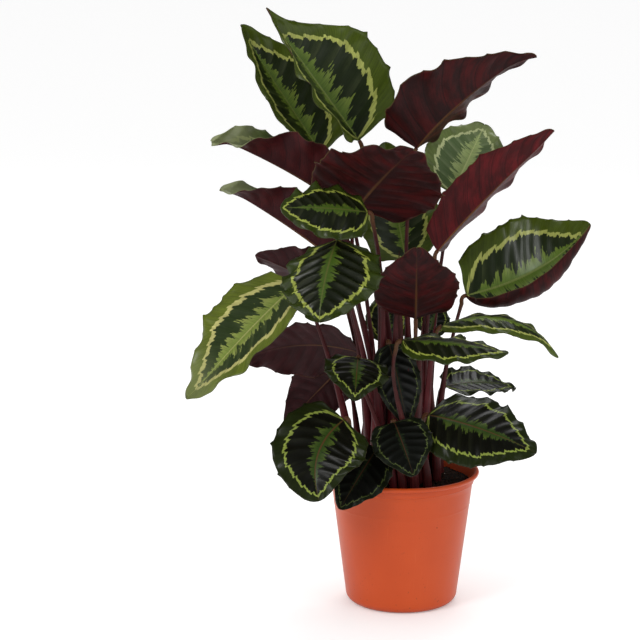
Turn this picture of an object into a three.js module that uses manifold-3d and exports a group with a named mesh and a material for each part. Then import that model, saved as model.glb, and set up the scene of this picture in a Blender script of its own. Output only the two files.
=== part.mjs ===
// Potted calathea (medallion type): a terracotta-coloured nursery pot, its soil, and a rosette of leaves.
// Millimetres, +Z up. The origin is the centre of the pot's flat underside, and -Y is the plant's front.
// Every leaf is two solids: a petiole that rises from the soil, and the blade that it carries.
import * as THREE from "three";
import { mergeVertices } from "three/addons/utils/BufferGeometryUtils.js";
import Module from "manifold-3d";

// Pot
const POT_HEIGHT = 184;
const POT_RIM_RADIUS = 105;
const POT_FOOT_RADIUS = 75;
const POT_WALL = 1.8;
const POT_ROUND = 12; // rounding between the wall and the base
const RIM_ROLL = 3.2; // radius of the rolled lip
const POT_SEGMENTS = 40;
const DRAIN_HOLES = 6;
const DRAIN_HOLE_RADIUS = 6;
const DRAIN_CIRCLE_RADIUS = 44;

// Soil
const SOIL_TOP = 166;
const SOIL_CROWN = 5; // how much higher the soil stands at the crown than at the wall
const CROWN_RADIUS = 78;
const GAP = 0.4; // clearance between solids that rest on each other

// Leaves
const BLADE_THICKNESS = 0.7;
const MIDRIB_THICKNESS = 2.2;
const BLADE_ROWS = 10;
const BLADE_COLUMNS = [-1, -0.72, -0.36, 0, 0.36, 0.72, 1];
const LOBE = 0.22; // how far the margin is drawn back beside the petiole, as a share of the half-width
const BLADE_NECK = 2.4; // half-width where the blade meets its petiole
const TIP_HALF_WIDTH = 0.9;
const PETIOLE_SIDES = 6;
const STALK_STEPS = 7;
const KNEE_STEPS = 2;
const SHEATH_RADIUS = 5.6;
const STALK_RADIUS = 2.3;
const KNEE_RADIUS = 2.9; // the swollen joint just below the blade
const KNEE_LENGTH = 8;
const KNEE_DROP = 4; // how far behind its blade the stalk meets the knee

const TAPER_FROM = 0.5; // how far along a blade its taper starts, unless its row says otherwise

// One row per leaf. base and tip are the ends of the midrib. faces is the way the upper side looks.
// taper is how much narrower than an oval the outer half is.
// bow lifts the midrib's middle towards the upper side, and sway moves it to the right, seen from above with
// the tip ahead. fold and curl, left then right, are the degrees that each half rises at the midrib and
// gains by its margin. twist turns the blade about its midrib from base to tip, and tipTurn turns its last
// third. hook bends the tip towards the upper side. foot is where the petiole leaves the soil.
const LEAVES = {
  high_left_back: {
    base: [-110, 80, 606], tip: [-221, 90, 778], faces: [0.1, -1, 0.3], width: 130, taper: 0.5,
    bow: -8, sway: 0, fold: [60, 5], curl: [0, 0], ruffle: 3, waves: 4, twist: 0, tipTurn: 0, hook: 12,
    foot: [-24, 34],
  },
  high_left: {
    base: [-60, 25, 630], tip: [-185, 20, 805], faces: [0.1, -1, 0.2], width: 185, taper: 0.85,
    bow: -8, sway: 0, fold: [74, 0], curl: [0, 0], ruffle: 4, waves: 4, twist: 0, tipTurn: 0, hook: 15,
    foot: [-8, 18],
  },
  high_right: {
    base: [15, -20, 625], tip: [165, -10, 750], faces: [-0.4, 1, 0.4], width: 186, taper: 0.7,
    bow: -10, sway: 18, fold: [45, 0], curl: [0, 0], ruffle: 5, waves: 4, twist: 0, tipTurn: 0, hook: -15,
    foot: [14, 8], taperFrom: 0.1,
  },
  centre_front: {
    base: [-65, -35, 545], tip: [5, -160, 640], faces: [-0.1, 0.7, 0.7], width: 170, taper: 0.35,
    bow: 5, sway: 0, fold: [0, 10], curl: [-20, 0], ruffle: 4, waves: 4, twist: 0, tipTurn: 0, hook: 0,
    foot: [-20, -6],
  },
  upper_left_long: {
    base: [-74, -12, 542], tip: [-250, -60, 645], faces: [0.3, 0.7, 0.65], width: 120, taper: 0.35,
    bow: 8, sway: 0, fold: [20, 75], curl: [0, 0], ruffle: 4, waves: 5, twist: 0, tipTurn: -60, hook: -10,
    foot: [-34, 14],
  },
  upper_left_front: {
    base: [-50, -88, 550], tip: [-162, -132, 562], faces: [0.1, -0.9, 0.6], width: 84, taper: 0.1,
    bow: 6, sway: 0, fold: [0, -10], curl: [-10, -20], ruffle: 5, waves: 4, twist: 0, tipTurn: 0, hook: 0,
    foot: [-31, -18],
  },
  left_reaching: {
    base: [-85, -20, 470], tip: [-240, -20, 575], faces: [0.3, 0.8, 0.6], width: 110, taper: 0.35,
    bow: 5, sway: 0, fold: [20, 60], curl: [0, 0], ruffle: 4, waves: 5, twist: 0, tipTurn: -50, hook: -10,
    foot: [-44, -14],
  },
  left_back: {
    base: [-80, 34, 412], tip: [-200, 50, 470], faces: [0.2, 0.8, 0.6], width: 100, taper: 0.35,
    bow: 5, sway: 0, fold: [10, 20], curl: [0, 0], ruffle: 3, waves: 4, twist: 0, tipTurn: 0, hook: 0,
    foot: [-40, 48],
  },
  left_drooping: {
    base: [-140, -42, 450], tip: [-286, -75, 298], faces: [-0.5, -0.7, 0.6], width: 150, taper: 0.35,
    bow: 20, sway: -12, fold: [25, 0], curl: [0, 0], ruffle: 4, waves: 4, twist: 0, tipTurn: 0, hook: 4,
    foot: [-68, -26],
  },
  centre_hanging: {
    base: [-90, -92, 515], tip: [-114, -187, 428], faces: [-0.2, -0.55, 0.85], width: 138, taper: 0.1,
    bow: 10, sway: 0, fold: [-20, -20], curl: [0, 0], ruffle: 7, waves: 5, twist: 0, tipTurn: 0, hook: -5,
    foot: [-30, -34],
  },
  left_low: {
    base: [-60, 14, 344], tip: [-220, 14, 332], faces: [0, 0.85, 0.5], width: 118, taper: 0.35,
    bow: 22, sway: 0, fold: [-18, 0], curl: [0, 0], ruffle: 3, waves: 4, twist: 0, tipTurn: 0, hook: 0,
    foot: [-54, 14],
  },
  left_lowest: {
    base: [-80, 58, 314], tip: [-160, 72, 226], faces: [0.3, 0.9, 0.3], width: 80, taper: 0.35,
    bow: 8, sway: 0, fold: [10, 10], curl: [0, 0], ruffle: 2, waves: 3, twist: 0, tipTurn: 0, hook: 0,
    foot: [-58, 36],
  },
  front_small: {
    base: [-62, -75, 355], tip: [-67, -140, 315], faces: [0, -0.5, 0.85], width: 85, taper: 0.35,
    bow: 8, sway: 0, fold: [0, 15], curl: [-20, -20], ruffle: 3, waves: 4, twist: 0, tipTurn: 0, hook: -4,
    foot: [-14, -60],
  },
  centre_shaded: {
    base: [-20, -52, 368], tip: [5, -66, 258], faces: [0.1, -1, 0.2], width: 60, taper: 0.35,
    bow: 5, sway: 0, fold: [5, 10], curl: [0, 0], ruffle: 2, waves: 4, twist: 0, tipTurn: 0, hook: 0,
    foot: [-4, -40],
  },
  centre_upright: {
    base: [14, -60, 405], tip: [10, -160, 515], faces: [0, 0.7, 0.7], width: 112, taper: 0.35,
    bow: -8, sway: 0, fold: [10, 10], curl: [0, 0], ruffle: 3, waves: 3, twist: 0, tipTurn: 0, hook: 0,
    foot: [10, -26],
  },
  upper_right_back: {
    base: [68, 72, 552], tip: [116, 132, 640], faces: [0.1, -1, 0.5], width: 120, taper: 0.35,
    bow: 5, sway: 0, fold: [10, 25], curl: [0, 0], ruffle: 4, waves: 4, twist: 0, tipTurn: 0, hook: 0,
    foot: [24, 36],
  },
  right_reaching: {
    base: [45, 0, 485], tip: [205, 40, 640], faces: [-0.5, 0.9, 0.5], width: 110, taper: 0.35,
    bow: 5, sway: 0, fold: [35, 15], curl: [0, 0], ruffle: 3, waves: 4, twist: 0, tipTurn: 0, hook: 5,
    foot: [30, 12],
  },
  centre_back: {
    base: [5, 50, 465], tip: [-25, 50, 625], faces: [0.1, -1, 0.2], width: 110, taper: 0.35,
    bow: -5, sway: 0, fold: [10, 10], curl: [0, 0], ruffle: 3, waves: 4, twist: 0, tipTurn: 0, hook: 0,
    foot: [4, 40],
  },
  right_spread: {
    base: [85, 12, 422], tip: [245, -30, 525], faces: [-0.4, -0.8, 0.55], width: 160, taper: 0.45,
    bow: -34, sway: 0, fold: [10, -45], curl: [0, 185], ruffle: 3, waves: 4, twist: 0, tipTurn: 0, hook: 0,
    foot: [46, 12],
  },
  right_arching: {
    base: [50, -30, 388], tip: [205, -56, 358], faces: [0, -0.25, 1], width: 72, taper: 0.35,
    bow: 30, sway: 0, fold: [-10, 0], curl: [-15, -15], ruffle: 3, waves: 4, twist: 0, tipTurn: 0, hook: -8,
    foot: [46, -14],
  },
  right_front: {
    base: [-5, -98, 383], tip: [130, -133, 373], faces: [0, -0.08, 1], width: 80, taper: 0.35,
    bow: 5, sway: 0, fold: [-5, -20], curl: [0, -10], ruffle: 3, waves: 4, twist: 0, tipTurn: 0, hook: 0,
    foot: [14, -64],
  },
  right_low_back: {
    base: [60, 34, 291], tip: [160, 84, 277], faces: [0, -0.3, 1], width: 80, taper: 0.35,
    bow: 8, sway: 0, fold: [5, 5], curl: [0, 0], ruffle: 3, waves: 4, twist: 0, tipTurn: 0, hook: 0,
    foot: [52, 28],
  },
  right_bottom: {
    base: [32, -60, 274], tip: [170, -122, 238], faces: [0.1, -0.6, 0.9], width: 124, taper: 0.35,
    bow: 8, sway: 0, fold: [0, 0], curl: [-10, -30], ruffle: 4, waves: 5, twist: 0, tipTurn: 0, hook: 0,
    foot: [32, -48],
  },
  front_bottom: {
    base: [-14, -85, 270], tip: [10, -135, 210], faces: [0, -0.8, 0.6], width: 80, taper: 0.35,
    bow: 5, sway: 0, fold: [5, 5], curl: [0, 0], ruffle: 2, waves: 4, twist: 0, tipTurn: 0, hook: 0,
    foot: [-2, -62],
  },
  left_bottom: {
    base: [-80, -90, 275], tip: [-113, -160, 184], faces: [-0.2, -0.9, 0.5], width: 125, taper: 0.2,
    bow: 8, sway: 18, fold: [5, 5], curl: [0, 0], ruffle: 3, waves: 4, twist: 0, tipTurn: 0, hook: 0,
    foot: [-72, -44],
  },
  left_bottom_inner: {
    base: [-36, -70, 231], tip: [-86, -130, 164], faces: [-0.1, -0.9, 0.4], width: 74, taper: 0.35,
    bow: 5, sway: 0, fold: [0, 0], curl: [0, 0], ruffle: 3, waves: 4, twist: 0, tipTurn: 0, hook: 0,
    foot: [-36, -52],
  },
  right_inner: {
    base: [36, 18, 368], tip: [50, 26, 412], faces: [0.2, -0.8, 0.5], width: 44, taper: 0.35,
    bow: 3, sway: 0, fold: [5, 5], curl: [0, 0], ruffle: 3, waves: 4, twist: 0, tipTurn: 0, hook: 0,
    foot: [36, 27],
  },
  back_inner: {
    base: [-14, 66, 350], tip: [-26, 104, 408], faces: [0, -1, 0.5], width: 60, taper: 0.35,
    bow: 3, sway: 0, fold: [5, 5], curl: [0, 0], ruffle: 3, waves: 4, twist: 0, tipTurn: 0, hook: 0,
    foot: [-12, 58],
  },
  back_low: {
    base: [20, 70, 330], tip: [60, 190, 300], faces: [0, 0.3, 1], width: 110, taper: 0.35,
    bow: 20, sway: 0, fold: [5, 5], curl: [-10, -10], ruffle: 4, waves: 4, twist: 0, tipTurn: 0, hook: -5,
    foot: [16, 58],
  },
};

const COLOURS = {
  pot: new THREE.MeshStandardMaterial({ color: 0xc4532a, roughness: 0.5, metalness: 0 }),
  soil: new THREE.MeshStandardMaterial({ color: 0x1c1310, roughness: 1, metalness: 0 }),
  blade: new THREE.MeshStandardMaterial({ color: 0x2f4a1c, roughness: 0.4, metalness: 0 }),
  petiole: new THREE.MeshStandardMaterial({ color: 0x5a2428, roughness: 0.55, metalness: 0 }),
};

const vector = (xyz) => new THREE.Vector3(...xyz);
const degrees = THREE.MathUtils.degToRad;
const WALL_TOP_RADIUS = POT_RIM_RADIUS - 2 * RIM_ROLL;
const wallRadius = (z) => THREE.MathUtils.lerp(POT_FOOT_RADIUS, WALL_TOP_RADIUS, z / POT_HEIGHT);
const smooth = (x, from, to) => THREE.MathUtils.smoothstep(x, from, to);

// The leaf's own directions: along its chord, up from its upper side, and to its right.
function leafDirections(leaf) {
  const base = vector(leaf.base);
  const chord = vector(leaf.tip).sub(base);
  const along = chord.clone().normalize();
  const up = vector(leaf.faces).addScaledVector(along, -vector(leaf.faces).dot(along)).normalize();
  const right = along.clone().cross(up);
  return { base, chord, up, right };
}

function midribPoint(leaf, t) {
  const { base, chord, up, right } = leafDirections(leaf);
  const arch = 4 * t * (1 - t);
  const hooked = Math.max(0, (t - 0.78) / 0.22) ** 2;
  return base
    .addScaledVector(chord, t)
    .addScaledVector(up, leaf.bow * arch + leaf.hook * hooked)
    .addScaledVector(right, leaf.sway * arch);
}

// Half the blade's width at t along the midrib: broad and oval, drawn out to a short point.
function halfWidth(leaf, t) {
  const oval = Math.sin(Math.PI * t ** 0.8) ** 0.5;
  const point = 1 - leaf.taper * smooth(t, leaf.taperFrom ?? TAPER_FROM, 1);
  const least = THREE.MathUtils.lerp(BLADE_NECK, TIP_HALF_WIDTH, t);
  return Math.max(least, (leaf.width / 2) * oval * point);
}

// A point of the blade's middle surface and the direction its upper side faces there.
// s runs from -1 at the left margin to 1 at the right margin.
function bladePoint(leaf, t, s) {
  const step = 0.01;
  const ahead = midribPoint(leaf, Math.min(1, t + step));
  const behind = midribPoint(leaf, Math.max(0, t - step));
  const tangent = ahead.sub(behind).normalize();
  const { up } = leafDirections(leaf);
  up.addScaledVector(tangent, -up.dot(tangent)).normalize();
  up.applyAxisAngle(tangent, degrees(leaf.twist * (t - 0.5) + leaf.tipTurn * smooth(t, 0.6, 1)));
  const right = tangent.clone().cross(up);
  const side = s < 0 ? 0 : 1;
  const sign = s < 0 ? -1 : 1;
  const q = Math.abs(s);
  const rise = degrees(leaf.fold[side]);
  const gain = degrees(leaf.curl[side]) || 1e-4;
  const across = (Math.sin(rise + gain * q) - Math.sin(rise)) / gain;
  const height = (Math.cos(rise) - Math.cos(rise + gain * q)) / gain;
  const wave = Math.sin(2 * Math.PI * leaf.waves * t + (side ? 0 : 2));
  const ruffle = leaf.ruffle * q ** 3 * wave * Math.sqrt(Math.max(0, Math.sin(Math.PI * t)));
  const w = halfWidth(leaf, t);
  const slope = s === 0 ? degrees(leaf.fold[1] - leaf.fold[0]) / 2 : rise + gain * q;
  const normal = up.clone().multiplyScalar(Math.cos(slope)).addScaledVector(right, -sign * Math.sin(slope));
  const point = midribPoint(leaf, t)
    .addScaledVector(tangent, -LOBE * w * q * q * smooth(t, 0, 0.08) * (1 - smooth(t, 0.08, 0.4)))
    .addScaledVector(right, sign * w * across)
    .addScaledVector(up, w * height)
    .addScaledVector(normal, ruffle);
  return { point, normal };
}

// A closed solid from a grid of upper points and the matching grid of lower points.
function closedSheet(upper, lower) {
  const rows = upper.length;
  const columns = upper[0].length;
  const positions = [...upper.flat(), ...lower.flat()].flatMap((p) => p.toArray());
  const below = rows * columns;
  const at = (i, j) => i * columns + j;
  const index = [];
  const quad = (a, b, c, d) => index.push(a, b, c, a, c, d);
  for (let i = 0; i + 1 < rows; i++) {
    for (let j = 0; j + 1 < columns; j++) {
      quad(at(i, j), at(i, j + 1), at(i + 1, j + 1), at(i + 1, j));
      quad(below + at(i, j), below + at(i + 1, j), below + at(i + 1, j + 1), below + at(i, j + 1));
    }
  }
  const border = [];
  for (let j = 0; j < columns; j++) border.push(at(0, j));
  for (let i = 1; i < rows; i++) border.push(at(i, columns - 1));
  for (let j = columns - 2; j >= 0; j--) border.push(at(rows - 1, j));
  for (let i = rows - 2; i > 0; i--) border.push(at(i, 0));
  border.forEach((a, k) => {
    const b = border[(k + 1) % border.length];
    quad(b, a, below + a, below + b);
  });
  const geometry = new THREE.BufferGeometry();
  geometry.setAttribute("position", new THREE.Float32BufferAttribute(positions, 3));
  geometry.setIndex(index);
  return geometry;
}

function bladeGeometry(leaf) {
  const upper = [];
  const lower = [];
  for (let i = 0; i <= BLADE_ROWS; i++) {
    const t = i / BLADE_ROWS;
    const points = BLADE_COLUMNS.map((s) => bladePoint(leaf, t, s));
    const taper = THREE.MathUtils.lerp(MIDRIB_THICKNESS, BLADE_THICKNESS, t);
    const depth = (s) => (s === 0 ? taper : BLADE_THICKNESS) - BLADE_THICKNESS / 2;
    const raised = (at, distance) => at.point.clone().addScaledVector(at.normal, distance);
    upper.push(points.map((at) => raised(at, BLADE_THICKNESS / 2)));
    lower.push(points.map((at, j) => raised(at, -depth(BLADE_COLUMNS[j]))));
  }
  return closedSheet(upper, lower);
}

// The soil is level round the crown and slopes down from there to the wall.
function soilHeight(radius) {
  const slope = (radius - CROWN_RADIUS) / (wallRadius(SOIL_TOP) - POT_WALL - CROWN_RADIUS);
  return SOIL_TOP + SOIL_CROWN * (1 - THREE.MathUtils.clamp(slope, 0, 1));
}

// The petiole rises from the soil, leans towards its blade, and ends in a short knee that meets the midrib.
function petiolePath(leaf) {
  const top = midribPoint(leaf, 0);
  const tangent = midribPoint(leaf, 0.01).sub(top).normalize();
  const inward = Math.hypot(...leaf.foot) - SHEATH_RADIUS;
  const foot = new THREE.Vector3(leaf.foot[0], leaf.foot[1], soilHeight(inward) + GAP);
  const end = top.clone().addScaledVector(tangent, -GAP);
  const bend = end.clone().addScaledVector(tangent, -KNEE_LENGTH);
  const elbow = bend.clone().addScaledVector(leafDirections(leaf).up, -KNEE_DROP);
  elbow.z -= KNEE_LENGTH;
  const rise = elbow.z - foot.z;
  const leaving = foot.clone().add(new THREE.Vector3(0, 0, rise * 0.4));
  const arriving = elbow.clone().addScaledVector(tangent, -rise * 0.08);
  arriving.z -= rise * 0.25;
  const stalk = new THREE.CubicBezierCurve3(foot, leaving, arriving, elbow).getPoints(STALK_STEPS);
  const knee = new THREE.QuadraticBezierCurve3(elbow, bend, end).getPoints(KNEE_STEPS);
  return { points: [...stalk, ...knee.slice(1)], tangent };
}

function petioleRadius(i) {
  if (i > STALK_STEPS) return KNEE_RADIUS;
  return THREE.MathUtils.lerp(SHEATH_RADIUS, STALK_RADIUS, smooth(i / STALK_STEPS, 0, 0.6));
}

// A closed tube of varying radius along the petiole's path.
function petioleGeometry(leaf) {
  const { points, tangent } = petiolePath(leaf);
  const last = points.length - 1;
  const across = new THREE.Vector3(1, 0, 0);
  const rings = points.map((centre, i) => {
    const ahead = i === last ? tangent : points[i + 1].clone().sub(points[Math.max(0, i - 1)]).normalize();
    if (i === 0) ahead.set(0, 0, 1);
    across.addScaledVector(ahead, -across.dot(ahead)).normalize();
    const other = ahead.clone().cross(across);
    return Array.from({ length: PETIOLE_SIDES }, (_, k) => {
      const angle = (2 * Math.PI * k) / PETIOLE_SIDES;
      return centre
        .clone()
        .addScaledVector(across, petioleRadius(i) * Math.cos(angle))
        .addScaledVector(other, petioleRadius(i) * Math.sin(angle));
    });
  });
  const index = [];
  const at = (i, k) => i * PETIOLE_SIDES + (k % PETIOLE_SIDES);
  for (let i = 0; i < last; i++) {
    for (let k = 0; k < PETIOLE_SIDES; k++) {
      index.push(at(i, k), at(i, k + 1), at(i + 1, k + 1), at(i, k), at(i + 1, k + 1), at(i + 1, k));
    }
  }
  for (let k = 1; k + 1 < PETIOLE_SIDES; k++) {
    index.push(at(0, 0), at(0, k + 1), at(0, k));
    index.push(at(last, 0), at(last, k), at(last, k + 1));
  }
  const positions = rings.flat().flatMap((p) => p.toArray());
  const geometry = new THREE.BufferGeometry();
  geometry.setAttribute("position", new THREE.Float32BufferAttribute(positions, 3));
  geometry.setIndex(index);
  return geometry;
}

// A solid of revolution about +Z from [radius, height] pairs.
function turned(profile, segments) {
  const points = profile.map(([radius, height]) => new THREE.Vector2(radius, height));
  return new THREE.LatheGeometry(points, segments).rotateX(Math.PI / 2);
}


function potGeometry() {
  const profile = [[0, 0]];
  const corner = 4;
  for (let k = 0; k <= corner; k++) {
    const angle = (Math.PI / 2) * (k / corner);
    const z = POT_ROUND * (1 - Math.cos(angle));
    profile.push([wallRadius(z) - POT_ROUND * (1 - Math.sin(angle)), z]);
  }
  const lipCentre = [POT_RIM_RADIUS - RIM_ROLL, POT_HEIGHT - RIM_ROLL];
  const lipPoints = 6;
  profile.push([wallRadius(POT_HEIGHT - 2 * RIM_ROLL - 1), POT_HEIGHT - 2 * RIM_ROLL - 1]);
  for (let k = 0; k <= lipPoints; k++) {
    const angle = -Math.PI / 2 + (1.35 * Math.PI * k) / lipPoints;
    profile.push([lipCentre[0] + RIM_ROLL * Math.cos(angle), lipCentre[1] + RIM_ROLL * Math.sin(angle)]);
  }
  profile.push([wallRadius(POT_HEIGHT - 3 * RIM_ROLL) - POT_WALL, POT_HEIGHT - 3 * RIM_ROLL]);
  profile.push([wallRadius(POT_ROUND) - POT_WALL, POT_ROUND]);
  profile.push([wallRadius(POT_WALL) - POT_ROUND, POT_WALL], [0, POT_WALL]);
  return turned(profile, POT_SEGMENTS);
}

function soilGeometry() {
  const profile = [
    [0, POT_WALL + GAP],
    [wallRadius(0) - POT_ROUND - 1, POT_WALL + GAP],
    [wallRadius(POT_ROUND) - POT_WALL - GAP, POT_ROUND],
    [wallRadius(SOIL_TOP) - POT_WALL - GAP, SOIL_TOP],
    [CROWN_RADIUS, SOIL_TOP + SOIL_CROWN],
    [0, SOIL_TOP + SOIL_CROWN],
  ];
  return turned(profile, POT_SEGMENTS);
}

const wasm = await Module();
wasm.setup();

// A closed geometry as a solid that can be joined and cut.
function solidOf(geometry) {
  const bare = geometry.clone();
  bare.deleteAttribute("normal");
  bare.deleteAttribute("uv");
  const merged = mergeVertices(bare, 1e-3);
  return new wasm.Manifold(
    new wasm.Mesh({
      numProp: 3,
      vertProperties: merged.attributes.position.array,
      triVerts: new Uint32Array(merged.index.array),
    }),
  );
}

function geometryOf(solid) {
  const mesh = solid.getMesh();
  const geometry = new THREE.BufferGeometry();
  geometry.setAttribute("position", new THREE.BufferAttribute(mesh.vertProperties, 3));
  geometry.setIndex(new THREE.BufferAttribute(mesh.triVerts, 1));
  return geometry;
}

// The pot with its drainage holes cut through the base.
function drainedPot() {
  let pot = solidOf(potGeometry());
  for (let k = 0; k < DRAIN_HOLES; k++) {
    const angle = (2 * Math.PI * k) / DRAIN_HOLES;
    const drill = new THREE.CylinderGeometry(DRAIN_HOLE_RADIUS, DRAIN_HOLE_RADIUS, 4 * POT_WALL, 12);
    drill.rotateX(Math.PI / 2);
    drill.translate(DRAIN_CIRCLE_RADIUS * Math.cos(angle), DRAIN_CIRCLE_RADIUS * Math.sin(angle), 0);
    pot = pot.subtract(solidOf(drill));
  }
  return geometryOf(pot);
}

const plant = new THREE.Group();

function addPiece(name, geometry, material) {
  const mesh = new THREE.Mesh(geometry, material.clone());
  mesh.name = name;
  plant.add(mesh);
}

addPiece("pot", drainedPot(), COLOURS.pot);
addPiece("soil", soilGeometry(), COLOURS.soil);
for (const [name, leaf] of Object.entries(LEAVES)) {
  addPiece("petiole_" + name, petioleGeometry(leaf), COLOURS.petiole);
  addPiece("blade_" + name, bladeGeometry(leaf), COLOURS.blade);
}

export default plant;
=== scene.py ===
# %% [markdown]
# # A potted calathea
# This lesson dresses a measured model of a house plant. The frame holds 60 solids in metres: a tapered
# nursery pot, its soil, and 29 leaves, each of them a stalk (petiole) and a blade. The solids have the
# right size and place but a coarse skin. Each one gets a fine mesh in the same place, and a finish made of
# shader nodes.

# %% Load the frame
import math
from collections import namedtuple

import bmesh
import bpy
import numpy as np
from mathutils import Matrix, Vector, noise


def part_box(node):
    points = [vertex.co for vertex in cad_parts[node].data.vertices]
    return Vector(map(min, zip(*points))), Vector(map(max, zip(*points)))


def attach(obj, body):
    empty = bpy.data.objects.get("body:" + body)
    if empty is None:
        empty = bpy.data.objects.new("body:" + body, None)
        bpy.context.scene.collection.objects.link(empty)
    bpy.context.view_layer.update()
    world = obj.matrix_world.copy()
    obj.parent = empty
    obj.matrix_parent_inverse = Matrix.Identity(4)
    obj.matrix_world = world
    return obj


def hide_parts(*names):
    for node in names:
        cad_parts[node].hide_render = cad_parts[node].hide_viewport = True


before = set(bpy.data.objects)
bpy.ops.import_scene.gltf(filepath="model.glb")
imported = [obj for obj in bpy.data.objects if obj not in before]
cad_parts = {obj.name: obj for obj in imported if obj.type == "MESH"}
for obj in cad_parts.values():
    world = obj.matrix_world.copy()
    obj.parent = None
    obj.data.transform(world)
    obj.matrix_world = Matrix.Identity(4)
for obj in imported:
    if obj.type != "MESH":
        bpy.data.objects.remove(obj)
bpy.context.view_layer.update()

MM = 0.001
print("solids in the frame:", len(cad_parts))

# %% [markdown]
# ## The camera
# The camera comes first, because it decides which details are worth making. It stands a little to the left
# of the plant, 2.8 m away, and looks down on it by about eleven degrees. A long lens at that distance keeps
# the leaves in front from looking bigger than those behind, as a product portrait does.

# %% Set up the camera
CAMERA_PLACE = (-0.112, -2.8, 0.95)
CAMERA_PITCH = 11.3
LENS = 119.25
SENSOR_WIDTH = 36

scene = bpy.context.scene


def link_object(name, data):
    """Puts a mesh, a camera or a lamp into the scene as an object at the origin."""
    made = bpy.data.objects.new(name, data)
    scene.collection.objects.link(made)
    return made


camera = link_object("camera", bpy.data.cameras.new("camera"))
camera.location = CAMERA_PLACE
camera.rotation_euler = (math.radians(90 - CAMERA_PITCH), 0, 0)
camera.data.lens = LENS
camera.data.sensor_width = SENSOR_WIDTH
scene.camera = camera
print("camera at", CAMERA_PLACE, "with a", LENS, "mm lens")

# %% [markdown]
# ## A short way to write shader nodes
# A procedural finish is a small program of nodes. This helper adds nodes to one tree and links them, so that
# each finish below reads as a few lines of arithmetic, in which n is the helper of the tree being built. A
# plain number or colour becomes the socket's own value, and another node's output becomes a link.

# %% Helpers for node trees


class Nodes:
    """Adds linked nodes to a tree. Each call returns the new node's output socket."""

    def __init__(self, tree):
        self.tree = tree

    def put(self, value, socket):
        if isinstance(value, bpy.types.NodeSocket):
            self.tree.links.new(value, socket)
        elif value is not None:
            socket.default_value = value

    def fill(self, sockets, **values):
        """Puts values into several sockets. A socket's name has underscores for spaces."""
        for name, value in values.items():
            self.put(value, sockets[name.replace("_", " ")])

    def math(self, operation, *values):
        node = self.tree.nodes.new("ShaderNodeMath")
        node.operation = operation
        for value, socket in zip(values, node.inputs):
            self.put(value, socket)
        return node.outputs[0]

    def times(self, a, b):
        return self.math("MULTIPLY", a, b)

    def plus(self, a, b):
        return self.math("ADD", a, b)

    def minus(self, a, b):
        return self.math("SUBTRACT", a, b)

    def line(self, value, slope, offset):
        """value times slope, plus offset."""
        return self.math("MULTIPLY_ADD", value, slope, offset)

    def ramp(self, value, low, high, to_low=0.0, to_high=1.0):
        """Turns value smoothly from to_low at low into to_high at high."""
        node = self.tree.nodes.new("ShaderNodeMapRange")
        node.interpolation_type = "SMOOTHSTEP"
        for number, socket in zip((value, low, high, to_low, to_high), node.inputs):
            self.put(number, socket)
        return node.outputs[0]

    def mix(self, factor, a, b, blend="MIX"):
        node = self.tree.nodes.new("ShaderNodeMix")
        node.data_type = "RGBA"
        node.blend_type = blend
        for value, socket in zip((factor, a, b), (node.inputs[0], node.inputs[6], node.inputs[7])):
            self.put(value, socket)
        return node.outputs[2]

    def shade(self, colour, tone):
        """Makes a colour darker or lighter by a plain factor."""
        return self.mix(1.0, colour, self.vector(tone, tone, tone), "MULTIPLY")

    def vector(self, x, y, z):
        node = self.tree.nodes.new("ShaderNodeCombineXYZ")
        for value, socket in zip((x, y, z), node.inputs):
            self.put(value, socket)
        return node.outputs[0]

    def split(self, vector):
        node = self.tree.nodes.new("ShaderNodeSeparateXYZ")
        self.put(vector, node.inputs[0])
        return node.outputs

    def noise(self, where, scale, detail=2.0, roughness=0.5):
        node = self.tree.nodes.new("ShaderNodeTexNoise")
        self.put(where, node.inputs["Vector"])
        node.inputs["Scale"].default_value = scale
        node.inputs["Detail"].default_value = detail
        node.inputs["Roughness"].default_value = roughness
        return node.outputs["Fac"]

    def attribute(self, name):
        node = self.tree.nodes.new("ShaderNodeAttribute")
        node.attribute_name = name
        return node

    def light_path(self):
        return self.tree.nodes.new("ShaderNodeLightPath").outputs

    def object_place(self):
        return self.tree.nodes.new("ShaderNodeTexCoord").outputs["Object"]

    def bump(self, height, strength, distance):
        node = self.tree.nodes.new("ShaderNodeBump")
        node.inputs["Strength"].default_value = strength
        node.inputs["Distance"].default_value = distance
        self.put(height, node.inputs["Height"])
        return node.outputs[0]

    def group(self, shared, **values):
        """Places a shared node group and fills its inputs."""
        node = self.tree.nodes.new("ShaderNodeGroup")
        node.node_tree = shared
        self.fill(node.inputs, **values)
        return node.outputs


def rgb(red, green, blue):
    """A colour given in everyday 0 to 255 screen values, as the linear light that shaders work in."""
    return (*(((c / 255 + 0.055) / 1.055) ** 2.4 for c in (red, green, blue)), 1.0)


def new_group(name, inputs, outputs, helper=Nodes):
    """An empty node group. inputs maps names to defaults, outputs maps names to Float or Color."""
    shared = bpy.data.node_groups.new(name, "ShaderNodeTree")
    for label, default in inputs.items():
        kind = "NodeSocketColor" if isinstance(default, tuple) else "NodeSocketFloat"
        shared.interface.new_socket(label, in_out="INPUT", socket_type=kind).default_value = default
    for label, kind in outputs.items():
        shared.interface.new_socket(label, in_out="OUTPUT", socket_type="NodeSocket" + kind)
    given = shared.nodes.new("NodeGroupInput").outputs
    result = shared.nodes.new("NodeGroupOutput").inputs
    return shared, helper(shared), given, result


def new_material(name):
    """A material with only a Principled shader, and a helper to add nodes to it."""
    material = bpy.data.materials.new(name)
    material.use_nodes = True
    shader = material.node_tree.nodes["Principled BSDF"]
    return material, Nodes(material.node_tree), shader.inputs


print("helper methods:", sum(not name.startswith("_") for name in vars(Nodes)))

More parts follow.
